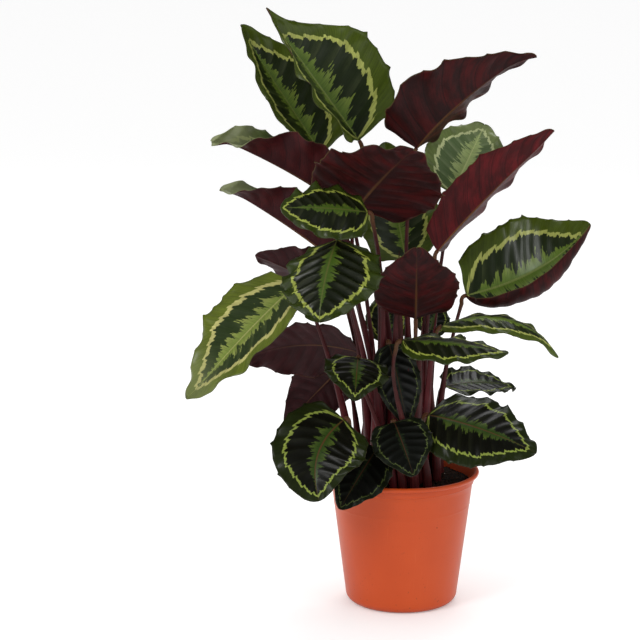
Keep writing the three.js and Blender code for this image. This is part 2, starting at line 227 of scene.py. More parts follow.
# %% [markdown]
# ## Light, floor and backdrop
# Dark glossy leaves are hard to light: a bright white room would lie on them as a grey veil. So the world
# is bright for soft light and for the camera, as a lit paper backdrop is, but dim as a reflection. Large
# area lamps then draw soft, narrow highlights along the leaves and down the pot's side. The floor is white
# paper with a faint glow that only the camera sees, so that it meets the backdrop without an edge.

# %% Light the room
BACKDROP_WHITE = 1.0
ROOM_LIGHT = 0.92
ROOM_SHINE = 0.1
WHITE = (1, 1, 1, 1)

scene.view_settings.view_transform = "Standard"
world = bpy.data.worlds.new("studio")
scene.world = world
world.use_nodes = True
n = Nodes(world.node_tree)
rays = n.light_path()
strength = n.line(rays["Is Glossy Ray"], ROOM_SHINE - ROOM_LIGHT, ROOM_LIGHT)
strength = n.line(rays["Is Camera Ray"], BACKDROP_WHITE - ROOM_LIGHT, strength)
n.fill(world.node_tree.nodes["Background"].inputs, Color=WHITE, Strength=strength)
print("room light", ROOM_LIGHT, "but only", ROOM_SHINE, "in reflections")

# %% Hang the lamps
AIM = Vector((0, 0, 0.4))


def area_lamp(name, place, size, watts):
    """A square soft lamp at place, turned to the middle of the plant."""
    lamp = link_object(name, bpy.data.lights.new(name, "AREA"))
    lamp.location = place
    lamp.rotation_euler = (AIM - Vector(place)).to_track_quat("-Z", "Y").to_euler()
    lamp.data.size = size
    lamp.data.energy = watts
    print("lamp", name, "at", place, watts, "W")


area_lamp("key_left", (-1.9, -1.9, 2.1), 0.9, 26)
area_lamp("fill_right", (2.3, -1.9, 1.3), 1.2, 9)
area_lamp("top_back", (0.4, 1.8, 2.6), 1.4, 20)

# %% Lay the floor
FLOOR_HALF = 30
FLOOR_GLOW = 0.2

floor_mesh = bpy.data.meshes.new("floor")
corners = [(x * FLOOR_HALF, y * FLOOR_HALF, 0) for x, y in ((-1, -1), (1, -1), (1, 1), (-1, 1))]
floor_mesh.from_pydata(corners, [], [(0, 1, 2, 3)])
floor_paper, n, sockets = new_material("floor_paper")
glow = n.times(n.light_path()["Is Camera Ray"], FLOOR_GLOW)
n.fill(sockets, Base_Color=(0.9, 0.9, 0.9, 1), Roughness=0.9, Emission_Color=WHITE, Emission_Strength=glow)
floor_mesh.materials.append(floor_paper)
link_object("floor", floor_mesh)
print("floor:", 2 * FLOOR_HALF, "m across")

# %% [markdown]
# ## Pieces
# Every finished mesh goes into the scene in the same way: it sits at the origin, rides on the frame's one
# body, and stands for its solid, whose coarse mesh is hidden. One function does that for all of them, so that
# no piece can miss it.

# %% Add a piece to the scene


def tie_piece(name, mesh, stands_for=None):
    """Puts a finished mesh into the scene and ties it to the frame."""
    piece = link_object(name, mesh)
    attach(piece, "root")
    if stands_for:
        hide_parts(stands_for)
    return piece


def add_piece(name, points, faces, materials, stands_for=None, face_material=None):
    """Makes a smooth mesh piece from points in metres, and ties it to the frame."""
    mesh = bpy.data.meshes.new(name)
    mesh.from_pydata(np.asarray(points).tolist(), [], faces)
    for material in materials:
        mesh.materials.append(material)
    if face_material is not None:
        mesh.polygons.foreach_set("material_index", face_material)
    mesh.shade_smooth()
    return tie_piece(name, mesh, stands_for)


def add_attribute(piece, name, kind, values):
    """Writes one value, or one vector, for each vertex, for a finish to read."""
    field = "vector" if kind == "FLOAT_VECTOR" else "value"
    layer = piece.data.attributes.new(name, kind, "POINT")
    layer.data.foreach_set(field, np.asarray(values, np.float32).ravel())


print("solids for pieces to stand for:", len(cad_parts))

# %% [markdown]
# ## The leaves' numbers
# These are the numbers of the measured model, in millimetres and degrees, so that each fine blade lies
# where its solid lies. base and tip are the ends of the midrib, faces is the way the upper side looks, and
# foot is where the stalk leaves the soil. veins and pleat are only for the fine mesh: how many lateral
# veins there are, and how deep they fold the blade. The rest has a usual value, and a leaf names only what
# differs. taper narrows the blade from taper_from to its tip. bow lifts the midrib's middle, sway moves it
# sideways, and hook bends the tip up. fold and curl, left then right, raise each half at the midrib and
# towards its margin. ruffle and waves set the wavy margin, and tip_turn rolls the tip round the midrib.

# %% The leaves
LEAF_USUAL = {
    "taper": 0.35, "taper_from": 0.5, "bow": 5, "sway": 0, "fold": (5, 5),
    "curl": (0, 0), "ruffle": 3, "waves": 4, "tip_turn": 0, "hook": 0,
}
LEAF_GIVEN = "base tip faces foot width age veins pleat".split()
Leaf = namedtuple("Leaf", [*LEAF_GIVEN, *LEAF_USUAL], defaults=LEAF_USUAL.values())
LEAVES = {
    "high_left_back": Leaf(
        (-110, 80, 606), (-221, 90, 778), (0.1, -1, 0.3), (-24, 34), 130, "mature", 9, 1.2,
        taper=0.5, bow=-8, fold=(60, 5), hook=12,
    ),
    "high_left": Leaf(
        (-60, 25, 630), (-185, 20, 805), (0.1, -1, 0.2), (-8, 18), 185, "mature", 9, 1.3,
        taper=0.85, bow=-8, fold=(74, 0), ruffle=4, hook=15,
    ),
    "high_right": Leaf(
        (15, -20, 625), (165, -10, 750), (-0.4, 1, 0.4), (14, 8), 186, "mature", 9, 1.6,
        taper=0.7, taper_from=0.1, bow=-10, sway=18, fold=(45, 0), ruffle=5, hook=-15,
    ),
    "centre_front": Leaf(
        (-65, -35, 545), (5, -160, 640), (-0.1, 0.7, 0.7), (-20, -6), 170, "mature", 10, 1.8,
        fold=(0, 10), curl=(-20, 0), ruffle=4,
    ),
    "upper_left_long": Leaf(
        (-74, -12, 542), (-250, -60, 645), (0.3, 0.7, 0.65), (-34, 14), 120, "curled", 10, 1.3,
        bow=8, fold=(20, 75), ruffle=4, waves=5, tip_turn=-60, hook=-10,
    ),
    "upper_left_front": Leaf(
        (-50, -88, 550), (-162, -132, 562), (0.1, -0.9, 0.6), (-31, -18), 84, "dark", 8, 1.4,
        taper=0.1, bow=6, fold=(0, -10), curl=(-10, -20), ruffle=5,
    ),
    "left_reaching": Leaf(
        (-85, -20, 470), (-240, -20, 575), (0.3, 0.8, 0.6), (-44, -14), 110, "curled", 10, 1.2,
        fold=(20, 60), ruffle=4, waves=5, tip_turn=-50, hook=-10,
    ),
    "left_back": Leaf(
        (-80, 34, 412), (-200, 50, 470), (0.2, 0.8, 0.6), (-40, 48), 100, "old", 8, 1.0,
        fold=(10, 20),
    ),
    "left_drooping": Leaf(
        (-140, -42, 450), (-286, -75, 298), (-0.5, -0.7, 0.6), (-68, -26), 150, "young", 10, 1.3,
        bow=20, sway=-12, fold=(25, 0), ruffle=4, hook=4,
    ),
    "centre_hanging": Leaf(
        (-90, -92, 515), (-114, -187, 428), (-0.2, -0.55, 0.85), (-30, -34), 138, "dark", 9, 4.6,
        taper=0.1, bow=10, fold=(-20, -20), ruffle=7, waves=5, hook=-5,
    ),
    "left_low": Leaf(
        (-60, 14, 344), (-220, 14, 332), (0, 0.85, 0.5), (-54, 14), 118, "old", 9, 1.3,
        bow=22, fold=(-18, 0),
    ),
    "left_lowest": Leaf(
        (-80, 58, 314), (-160, 72, 226), (0.3, 0.9, 0.3), (-58, 36), 80, "old", 8, 1.0,
        bow=8, fold=(10, 10), ruffle=2, waves=3,
    ),
    "front_small": Leaf(
        (-62, -75, 355), (-67, -140, 315), (0, -0.5, 0.85), (-14, -60), 85, "old", 8, 1.6,
        bow=8, fold=(0, 15), curl=(-20, -20), hook=-4,
    ),
    "centre_shaded": Leaf(
        (-20, -52, 368), (5, -66, 258), (0.1, -1, 0.2), (-4, -40), 60, "oldest", 9, 1.2,
        fold=(5, 10), ruffle=2,
    ),
    "centre_upright": Leaf(
        (14, -60, 405), (10, -160, 515), (0, 0.7, 0.7), (10, -26), 112, "mature", 9, 1.2,
        bow=-8, fold=(10, 10), waves=3,
    ),
    "upper_right_back": Leaf(
        (68, 72, 552), (116, 132, 640), (0.1, -1, 0.5), (24, 36), 120, "pale", 9, 1.4,
        fold=(10, 25), ruffle=4,
    ),
    "right_reaching": Leaf(
        (45, 0, 485), (205, 40, 640), (-0.5, 0.9, 0.5), (30, 12), 110, "young", 10, 1.3,
        fold=(35, 15), hook=5,
    ),
    "centre_back": Leaf(
        (5, 50, 465), (-25, 50, 625), (0.1, -1, 0.2), (4, 40), 110, "mature", 9, 1.0,
        bow=-5, fold=(10, 10),
    ),
    "right_spread": Leaf(
        (85, 12, 422), (245, -30, 525), (-0.4, -0.8, 0.55), (46, 12), 160, "mature", 10, 1.3,
        taper=0.45, bow=-34, fold=(10, -45), curl=(0, 185),
    ),
    "right_arching": Leaf(
        (50, -30, 388), (205, -56, 358), (0, -0.25, 1), (46, -14), 72, "mature", 9, 1.0,
        bow=30, fold=(-10, 0), curl=(-15, -15), hook=-8,
    ),
    "right_front": Leaf(
        (-5, -98, 383), (130, -133, 373), (0, -0.08, 1), (14, -64), 80, "dark", 9, 1.3,
        fold=(-5, -20), curl=(0, -10),
    ),
    "right_low_back": Leaf(
        (60, 34, 291), (160, 84, 277), (0, -0.3, 1), (52, 28), 80, "old", 9, 1.6,
        bow=8,
    ),
    "right_bottom": Leaf(
        (32, -60, 274), (170, -122, 238), (0.1, -0.6, 0.9), (32, -48), 124, "old", 10, 1.6,
        bow=8, fold=(0, 0), curl=(-10, -30), ruffle=4, waves=5,
    ),
    "front_bottom": Leaf(
        (-14, -85, 270), (10, -135, 210), (0, -0.8, 0.6), (-2, -62), 80, "oldest", 8, 1.0,
        ruffle=2,
    ),
    "left_bottom": Leaf(
        (-80, -90, 275), (-113, -160, 184), (-0.2, -0.9, 0.5), (-72, -44), 125, "old", 9, 1.1,
        taper=0.2, bow=8, sway=18,
    ),
    "left_bottom_inner": Leaf(
        (-36, -70, 231), (-86, -130, 164), (-0.1, -0.9, 0.4), (-36, -52), 74, "oldest", 8, 1.2,
        fold=(0, 0),
    ),
    "right_inner": Leaf(
        (36, 18, 368), (50, 26, 412), (0.2, -0.8, 0.5), (36, 27), 44, "old", 7, 0.8,
        bow=3,
    ),
    "back_inner": Leaf(
        (-14, 66, 350), (-26, 104, 408), (0, -1, 0.5), (-12, 58), 60, "dark", 8, 0.8,
        bow=3,
    ),
    "back_low": Leaf(
        (20, 70, 330), (60, 190, 300), (0, 0.3, 1), (16, 58), 110, "old", 9, 1.2,
        bow=20, curl=(-10, -10), ruffle=4, hook=-5,
    ),
}
print(len(LEAVES), "leaves, widest", max(leaf.width for leaf in LEAVES.values()), "mm")

# %% [markdown]
# ## The shape of a blade
# A blade is a curved sheet. One number, t, runs along the midrib and another, s, runs across from margin to
# margin, so that the whole shape is a formula evaluated on a grid. numpy evaluates it for all points at
# once. The fine sheet adds what a coarse solid leaves out. Lateral veins sweep forward from the midrib and
# pleat the blade between them, the margin waves, and no two leaves wave alike.

# %% Blade formulas
BLADE_NECK = 2.4
TIP_HALF_WIDTH = 0.9
LOBE = 0.22
LOBE_PEAK, LOBE_END = 0.08, 0.4
HOOK_FROM = 0.78
ROLL_FROM = 0.6
PLEATS_FULL = 0.35
VEIN_SWEEP = 0.17
WANDER = 0.45
CUSP = 0.085
TIP_CRUMPLE = 1.3
CURLED_TIP_CRUMPLE = 4.0
CRUMPLE_FROM, CRUMPLE_FULL = 0.72, 0.95
SLOPE_STEP = 0.01
LEAST_GAIN = 1e-4


def unit(vectors):
    """Vectors scaled to length one."""
    return vectors / np.linalg.norm(vectors, axis=-1, keepdims=True)


def smooth(x, low, high):
    """Rises smoothly from 0 at low to 1 at high."""
    y = np.clip((x - low) / (high - low), 0, 1)
    return y * y * (3 - 2 * y)


def leaf_directions(leaf):
    """The leaf's base, its chord, the way its upper side looks, and its right-hand side."""
    base = np.array(leaf.base, float)
    chord = np.array(leaf.tip, float) - base
    along = unit(chord)
    faces = np.array(leaf.faces, float)
    up = unit(faces - along * faces.dot(along))
    return base, chord, up, np.cross(along, up)


def midrib(leaf, t):
    """Points of the midrib at t, from 0 at the stalk to 1 at the tip."""
    base, chord, up, right = leaf_directions(leaf)
    t = np.asarray(t, float)[..., None]
    arch = 4 * t * (1 - t)
    hooked = np.maximum(0, (t - HOOK_FROM) / (1 - HOOK_FROM)) ** 2
    return base + chord * t + up * (leaf.bow * arch + leaf.hook * hooked) + right * leaf.sway * arch


def half_width(leaf, t):
    """Half of the width at t: an oval that can narrow to a point."""
    oval = np.sin(np.pi * t**0.8) ** 0.5
    point = 1 - leaf.taper * smooth(t, leaf.taper_from, 1)
    least = BLADE_NECK + (TIP_HALF_WIDTH - BLADE_NECK) * t
    return np.maximum(least, leaf.width / 2 * oval * point)


def vein_phase(leaf, t, q):
    """Counts lateral veins from base to tip. A whole number lies on a vein, and veins sweep forward."""
    return leaf.veins * (t - VEIN_SWEEP * q**1.4)


def blade_surface(leaf, t, s, seed):
    """Points of the blade's middle surface for a column of t and a row of s, in millimetres."""
    ahead, behind = np.minimum(1, t + SLOPE_STEP), np.maximum(0, t - SLOPE_STEP)
    tangent = unit(midrib(leaf, ahead) - midrib(leaf, behind))
    up = leaf_directions(leaf)[2]
    up = unit(up - tangent * (tangent @ up)[..., None])
    turn = np.radians(leaf.tip_turn * smooth(t, ROLL_FROM, 1))[..., None]
    up = up * np.cos(turn) + np.cross(tangent, up) * np.sin(turn)
    right = np.cross(tangent, up)

    # Each half leaves the midrib at its fold angle and curls evenly from there: its cross-section is an arc.
    q = np.abs(s)
    side = np.where(s < 0, 0, 1)
    sign = np.where(s < 0, -1, 1)
    rise = np.radians(np.array(leaf.fold, float))[side]
    gain = np.radians(np.array(leaf.curl, float))[side]
    gain = np.where(gain == 0, LEAST_GAIN, gain)
    slope = rise + gain * q
    across = sign * (np.sin(slope) - np.sin(rise)) / gain
    height = (np.cos(rise) - np.cos(slope)) / gain

    # The margin waves, most in the blade's middle.
    tt, qq = np.meshgrid(t, q, indexing="ij")
    middle = np.sqrt(np.clip(np.sin(np.pi * tt), 0, None))
    wave = np.sin(2 * np.pi * leaf.waves * tt + np.where(side, 0, 2)[None, :])
    lift = leaf.ruffle * qq**3 * wave * middle

    # The blade is pleated between its veins, and each leaf's margin wanders in its own way.
    phase = vein_phase(leaf, tt, qq)
    lift += leaf.pleat * (0.5 - np.abs(np.sin(np.pi * phase))) * smooth(qq, 0, PLEATS_FULL) * middle
    own = 0.37 * seed + 0.2 * np.sin(tt * 9 + seed)
    wander = 2 * np.pi * (phase * 0.5 + own + np.where(side, 0, 0.5)[None, :])
    lift += WANDER * leaf.ruffle * qq**4 * np.sin(wander) * middle

    # Small cusps stand where veins meet the margin, and the tip crumples as it dries.
    at_vein = (1 - np.abs(np.sin(np.pi * phase))) ** 2.5
    uneven = 0.6 + 0.4 * np.sin(tt * 23 + seed * 1.7 + 2 * np.where(side, 0, 1)[None, :])
    width = half_width(leaf, t)[:, None] * (1 + CUSP * qq**8 * uneven * at_vein)
    crumple = CURLED_TIP_CRUMPLE if leaf.age == "curled" else TIP_CRUMPLE
    creases = np.sin(41 * tt + 3 * s[None, :] + seed)
    lift += crumple * leaf.pleat * smooth(tt, CRUMPLE_FROM, CRUMPLE_FULL) * qq**2 * creases

    # Beside the stalk the margin is drawn back into two round lobes.
    drawn_back = smooth(t, 0, LOBE_PEAK) * (1 - smooth(t, LOBE_PEAK, LOBE_END))
    lobe = -LOBE * width * qq**2 * drawn_back[:, None]
    spine, tangent, right, up = (v[:, None, :] for v in (midrib(leaf, t), tangent, right, up))
    normal = up * np.cos(slope)[None, :, None] - right * (sign * np.sin(slope))[None, :, None]
    sheet = right * (width * across[None, :])[..., None] + up * (width * height[None, :])[..., None]
    return spine + sheet + tangent * lobe[..., None] + normal * lift[..., None], phase


longest = max(math.dist(leaf.base, leaf.tip) for leaf in LEAVES.values())
print("longest blade, base to tip:", round(longest), "mm")

# %% [markdown]
# ## From a surface to a leaf
# A sheet with no thickness has no proper inside, so the blade is two skins a half-millimetre apart, joined
# by a narrow edge. The skins carry different finishes: patterned green above, burgundy below. Under the
# leaf the midrib stands out as a rib, and above it lies in a furrow. Each vertex also records where on the
# leaf it is, and the finishes read that, so their pattern follows the veins through every fold.

# %% Build one blade
BLADE_ROWS = 84
BLADE_COLUMNS = 45
SKIN = 0.5
RIB = 1.5
FURROW = 0.35
RIB_REACH = 1.7
RIB_FADE = 0.75


def grid_normals(points):
    """The direction that a grid of points faces, at each of its points."""
    down = np.gradient(points, axis=0)
    over = np.gradient(points, axis=1)
    return unit(np.cross(over, down))


def two_skins(upper, lower):
    """The points of two grids in one list, in metres."""
    return np.concatenate([upper.reshape(-1, 3), lower.reshape(-1, 3)]) * MM


def closed_sheet_faces(rows, columns):
    """Quads of two stacked grids and of the edge that joins them, all facing out, and how many face up."""
    grid = np.arange(rows * columns).reshape(rows, columns)
    a, b = grid[:-1, :-1].ravel(), grid[:-1, 1:].ravel()
    c, d = grid[1:, 1:].ravel(), grid[1:, :-1].ravel()
    below = rows * columns
    top = np.stack([a, b, c, d], 1)
    under = np.stack([a, d, c, b], 1) + below
    border = np.concatenate([grid[0], grid[1:, -1], grid[-1, -2::-1], grid[-2:0:-1, 0]])
    after = np.roll(border, -1)
    edge = np.stack([after, border, border + below, after + below], 1)
    return np.concatenate([top, under, edge]).tolist(), len(top)


SHEET_FACES, UPPER_FACES = closed_sheet_faces(BLADE_ROWS, BLADE_COLUMNS)
x = np.linspace(0, 1, BLADE_ROWS)
ROW_PLACES = 0.6 * x + 0.4 * (0.5 - 0.5 * np.cos(np.pi * x))
x = np.linspace(-1, 1, BLADE_COLUMNS)
COLUMN_PLACES = x * (0.6 + 0.4 * np.abs(x))
print("one blade:", 2 * BLADE_ROWS * BLADE_COLUMNS, "points,", len(SHEET_FACES), "faces")


def build_blade(name, leaf, seed):
    """Adds one blade, and returns how far it goes past its solid's box in millimetres."""
    surface, phase = blade_surface(leaf, ROW_PLACES, COLUMN_PLACES, seed)
    normal = grid_normals(surface)
    q = np.abs(COLUMN_PLACES)[None, :]
    width = half_width(leaf, ROW_PLACES)[:, None]
    rib = np.exp(-((q * width / RIB_REACH) ** 2)) * (1 - RIB_FADE * ROW_PLACES[:, None])
    upper = surface + normal * (SKIN / 2 - FURROW * rib)[..., None]
    lower = surface - normal * (SKIN / 2 + RIB * rib)[..., None]
    points = two_skins(upper, lower)
    kinds = np.zeros(len(SHEET_FACES), np.int32)
    kinds[UPPER_FACES : 2 * UPPER_FACES] = 1
    materials = [UPPER_FINISH[leaf.age], UNDER_FINISH[leaf.age]]
    node = "blade_" + name
    piece = add_piece("leaf_" + name, points, SHEET_FACES, materials, node, kinds)
    edge = (1 - q) * width / (leaf.width / 2)
    across = np.broadcast_to(COLUMN_PLACES[None, :], phase.shape)
    along = np.broadcast_to(ROW_PLACES[:, None], phase.shape)
    leaf_map = np.stack([across, phase, edge], -1).reshape(-1, 3)
    add_attribute(piece, "leaf_map", "FLOAT_VECTOR", np.concatenate([leaf_map, leaf_map]))
    add_attribute(piece, "leaf_along", "FLOAT", np.tile(along.ravel(), 2))
    low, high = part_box(node)
    stray = max(np.max(np.array(low) - points.min(0)), np.max(points.max(0) - np.array(high)))
    return stray / MM


# %% [markdown]
# ## The medallion pattern
# The upper side wears three zones: an olive margin, a pale jagged ring, and a dark heart with a feather of
# lighter green along the midrib. In the heart a painted sheen, a paler grey-green just past each lateral
# vein in patches, stands in for the leaf's satin shine. An image would blur and would repeat, so the
# pattern is arithmetic. The ring lies at a set distance from the margin. Its teeth come from noise that is
# stretched along the lateral veins, which is how the real colour runs: fine strokes that follow the veins.
# Age changes only the values.

# %% Nodes that know the leaf
HALVES_APART = 7.0


class LeafNodes(Nodes):
    """Nodes for a leaf group. phase counts veins, edge grows in from the margin, along runs to the tip."""

    def __init__(self, tree):
        super().__init__(tree)
        across, self.phase, self.edge = self.split(self.attribute("leaf_map").outputs["Vector"])
        self.along = self.attribute("leaf_along").outputs["Fac"]
        self.place = self.object_place()
        self.reach = self.math("ABSOLUTE", across)
        self.half = self.times(self.math("SIGN", across), HALVES_APART)
        self.between = self.math("ABSOLUTE", self.math("SINE", self.times(self.phase, math.pi)))

    def vein_noise(self, per_vein, outwards, detail, roughness):
        """Noise that is drawn out along the lateral veins and differs on the two halves."""
        where = self.vector(self.times(self.phase, per_vein), self.times(self.edge, outwards), self.half)
        return self.noise(where, 1.0, detail, roughness)


print("leaf nodes read the attributes leaf_map and leaf_along")

# %% Shared group: medallion
medallion, n, given, result = new_group(
    "medallion",
    {
        "Margin": rgb(80, 105, 30),
        "Ring": rgb(180, 195, 100),
        "Heart": rgb(38, 55, 25),
        # Satin: a paler grey-green painted into the heart as a sheen
        "Satin": rgb(60, 75, 45),
        "Feather": rgb(105, 135, 50),
        "Midrib": rgb(130, 140, 70),
        "Ring Place": 0.27,
        "Ring Width": 0.08,
        "Feather Reach": 0.16,
        "Pale Tip": 0.0,
    },
    {"Color": "Color", "Roughness": "Float", "Height": "Float"},
    LeafNodes,
)
strokes = n.vein_noise(4.0, 2.2, 3.0, 0.65)
drift = n.noise(n.place, 55.0, 1.0)

fraction = n.math("FRACT", n.phase)
lean = n.line(fraction, 0.055, -0.027)
teeth = n.line(strokes, 0.34, -0.17)
wobble = n.line(drift, 0.07, -0.035)
shifted = n.plus(n.plus(n.edge, lean), wobble)
outer_line = n.line(teeth, 0.3, shifted)
past_outer = n.ramp(n.minus(outer_line, given["Ring Place"]), -0.006, 0.006)
swell = n.times(n.line(n.between, 0.75, 0.5), given["Ring Width"])
spikes = n.times(n.ramp(n.between, 0.05, 0.45, 0.06, 0.0), n.ramp(strokes, 0.3, 0.55))
ring_end = n.plus(n.plus(given["Ring Place"], swell), spikes)
inner_line = n.line(teeth, 0.75, shifted)
past_inner = n.ramp(n.minus(inner_line, ring_end), -0.008, 0.008)

feather_shape = n.times(n.ramp(n.along, 0.0, 0.2), n.ramp(n.along, 0.45, 0.95, 1.0, 0.1))
feather_edge = n.times(feather_shape, given["Feather Reach"])
feather_teeth = n.times(feather_edge, n.line(strokes, 5.2, -1.75))
in_feather = n.ramp(n.minus(feather_teeth, n.reach), -0.012, 0.012)
on_midrib = n.ramp(n.times(n.reach, n.plus(n.along, 0.7)), 0.012, 0.026, 1.0, 0.0)

# painted sheen: the heart is painted paler and greyer just past each lateral vein, in noise patches
painted_sheen_mask = n.times(n.ramp(fraction, 0.0, 0.55, 1.0, 0.0), n.ramp(n.noise(n.place, 26.0, 2.0), 0.35, 0.65))
heart = n.mix(n.times(painted_sheen_mask, 0.7), given["Heart"], given["Satin"])
margin_tone = n.line(n.noise(n.place, 30.0, 3.0), 0.7, 0.62)
margin = n.shade(given["Margin"], margin_tone)
ring_tone = n.line(strokes, 0.9, 0.5)
ring = n.shade(given["Ring"], ring_tone)
colour = n.mix(past_outer, margin, ring)
colour = n.mix(past_inner, colour, heart)
feather = n.mix(n.ramp(n.reach, 0.02, 0.3, 0.0, 0.25), given["Feather"], given["Ring"])
colour = n.mix(n.times(in_feather, past_inner), colour, feather)
colour = n.mix(n.times(on_midrib, 0.85), colour, given["Midrib"])
grain = n.vein_noise(26.0, 3.0, 3.0, 0.6)
grain_tone = n.ramp(grain, 0.25, 0.75, 0.72, 1.28)
colour = n.shade(colour, grain_tone)
thin_edge = n.ramp(n.edge, 0.002, 0.012, 0.7, 0.0)
colour = n.mix(thin_edge, colour, rgb(52, 50, 22))
pale = n.times(n.ramp(n.along, 0.62, 0.92), given["Pale Tip"])
colour = n.mix(pale, colour, rgb(128, 134, 96))

veinlets = n.math("SINE", n.times(n.phase, 46.0))
pores = n.noise(n.place, 1400.0, 2.0)
height = n.plus(n.times(veinlets, 0.12), n.times(pores, 0.6))
height = n.line(grain, 0.5, height)
roughness = n.line(n.noise(n.place, 90.0, 3.0), 0.22, 0.24)
n.fill(result, Color=colour, Height=height, Roughness=roughness)
print("medallion group:", len(medallion.nodes), "nodes")

# %% [markdown]
# ## The burgundy underside
# Below, the blade is wine red with a soft, almost velvet look. The lateral veins show as slightly darker
# lines, and patches drawn out along them are painted a brighter red as a painted sheen. The midrib is tan
# near the stalk and fades into red. Sheen gives the velvet glow at grazing angles, and it is set on the
# shader itself.

# %% Shared group: underside
underside, n, given, result = new_group(
    "underside",
    {
        "Tissue": rgb(92, 36, 38),
        # Painted Red Sheen: the brighter red of a painted sheen, laid in patches along the veins
        "Painted Red Sheen": rgb(125, 45, 48),
        "Veins": rgb(60, 22, 26),
        "Midrib": rgb(128, 88, 55),
    },
    {"Color": "Color", "Roughness": "Float", "Height": "Float"},
    LeafNodes,
)
strokes = n.vein_noise(7.0, 1.5, 4.0, 0.7)
# painted sheen: noise patches drawn out along the veins, painted in the brighter red
painted_sheen_patches = n.vein_noise(1.1, 1.7, 4.0, 0.6)
colour = n.mix(n.ramp(painted_sheen_patches, 0.38, 0.66), given["Tissue"], given["Painted Red Sheen"])
colour = n.mix(n.ramp(strokes, 0.45, 0.75, 0.0, 0.45), colour, given["Veins"])
colour = n.mix(n.ramp(n.between, 0.0, 0.16, 0.7, 0.0), colour, given["Veins"])
on_midrib = n.ramp(n.times(n.reach, n.plus(n.along, 0.6)), 0.014, 0.03, 1.0, 0.0)
colour = n.mix(n.times(on_midrib, n.ramp(n.along, 0.1, 0.9, 0.9, 0.25)), colour, given["Midrib"])
colour = n.mix(n.ramp(n.edge, 0.004, 0.018, 0.5, 0.0), colour, rgb(95, 75, 40))
veinlets = n.math("SINE", n.times(n.phase, 46.0))
height = n.plus(n.times(veinlets, 0.15), n.noise(n.place, 1100.0, 2.0))
roughness = n.line(n.noise(n.place, 120.0, 2.0), 0.2, 0.42)
n.fill(result, Color=colour, Height=height, Roughness=roughness)
print("underside group:", len(underside.nodes), "nodes")

# %% [markdown]
# ## Leaf finishes by age
# A young leaf opens bright, with an olive margin and a broad ring. As it ages it turns deep green, and the
# ring narrows to a line. Old leaves low on the plant are nearly black. The same two groups give all of
# them, with different values.

# %% Upper and lower finishes
LEAF_RELIEF = 0.0003
UPPER_LABELS = "Margin Ring Heart Satin Feather Midrib Ring_Place Ring_Width Feather_Reach Pale_Tip".split()
# The fourth colour of each row is the heart's painted sheen.
UPPER_ROWS = {
    "young": (
        (88, 100, 24), (176, 172, 104), (38, 52, 20), (66, 78, 40), (108, 124, 50), (150, 150, 90),
        0.27, 0.09, 0.24, 0.35,
    ),
    "curled": (
        (62, 76, 28), (156, 164, 100), (36, 48, 22), (80, 92, 62), (92, 112, 50), (140, 144, 92),
        0.25, 0.08, 0.22, 0.9,
    ),
    "pale": (
        (92, 106, 56), (176, 184, 132), (78, 96, 58), (112, 124, 88), (134, 150, 92), (160, 168, 112),
        0.26, 0.07, 0.26, 0.3,
    ),
    "mature": (
        (66, 80, 16), (162, 168, 86), (28, 39, 13), (56, 64, 36), (86, 110, 34), (114, 126, 58),
        0.26, 0.075, 0.22, 0.0,
    ),
    "dark": (
        (44, 56, 11), (146, 156, 66), (19, 25, 8), (46, 50, 30), (60, 82, 24), (84, 88, 40),
        0.22, 0.065, 0.16, 0.0,
    ),
    "old": (
        (29, 37, 9), (130, 144, 62), (12, 13, 5), (27, 29, 15), (42, 62, 18), (80, 52, 28),
        0.24, 0.05, 0.18, 0.0,
    ),
    "oldest": (
        (17, 23, 10), (78, 90, 46), (9, 11, 6), (22, 26, 19), (22, 33, 15), (66, 38, 24),
        0.18, 0.026, 0.1, 0.0,
    ),
}
UNDER_LABELS = ("Tissue", "Painted Red Sheen", "Veins", "Midrib")
# The second colour of each row is the painted red sheen.
UNDER_ROWS = {
    "young": ((62, 15, 17), (92, 20, 24), (36, 9, 12), (112, 76, 42)),
    "curled": ((50, 14, 17), (66, 18, 20), (32, 9, 12), (96, 64, 38)),
    "pale": ((84, 34, 36), (104, 40, 44), (60, 24, 28), (120, 84, 52)),
    "mature": ((36, 11, 11), (66, 14, 15), (22, 7, 8), (88, 58, 32)),
    "dark": ((34, 12, 12), (52, 16, 17), (22, 8, 9), (80, 54, 32)),
    "old": ((48, 20, 22), (60, 25, 28), (32, 13, 15), (92, 62, 38)),
    "oldest": ((44, 18, 19), (56, 23, 25), (30, 12, 14), (82, 52, 34)),
}


def finish_values(labels, row):
    """Names a row's values, and turns its colours into linear light."""
    return {label: rgb(*value) if isinstance(value, tuple) else value for label, value in zip(labels, row)}


def leaf_finish(name, shared, values, bump, gloss, sheen, coat):
    """A material that wears one of the two leaf groups."""
    material, n, sockets = new_material(name)
    outputs = n.group(shared, **values)
    n.fill(
        sockets,
        Base_Color=outputs["Color"],
        Roughness=outputs["Roughness"],
        Normal=n.bump(outputs["Height"], bump, LEAF_RELIEF),
        Specular_IOR_Level=gloss,
        Sheen_Weight=sheen,
        Sheen_Roughness=0.4,
        Sheen_Tint=rgb(220, 90, 90),
        Coat_Weight=coat,
        Coat_Roughness=0.24,
    )
    return material


UPPER_FINISH, UNDER_FINISH = {}, {}
for age, row in UPPER_ROWS.items():
    values = finish_values(UPPER_LABELS, row)
    gloss, coat = (0.16, 0.1) if age in ("old", "oldest") else (0.26, 0.2)
    UPPER_FINISH[age] = leaf_finish("leaf_upper_" + age, medallion, values, 0.35, gloss, 0.0, coat)
for age, row in UNDER_ROWS.items():
    values = finish_values(UNDER_LABELS, row)
    UNDER_FINISH[age] = leaf_finish("leaf_under_" + age, underside, values, 0.4, 0.14, 0.05, 0.0)
print("leaf finishes:", len(UPPER_FINISH) + len(UNDER_FINISH))

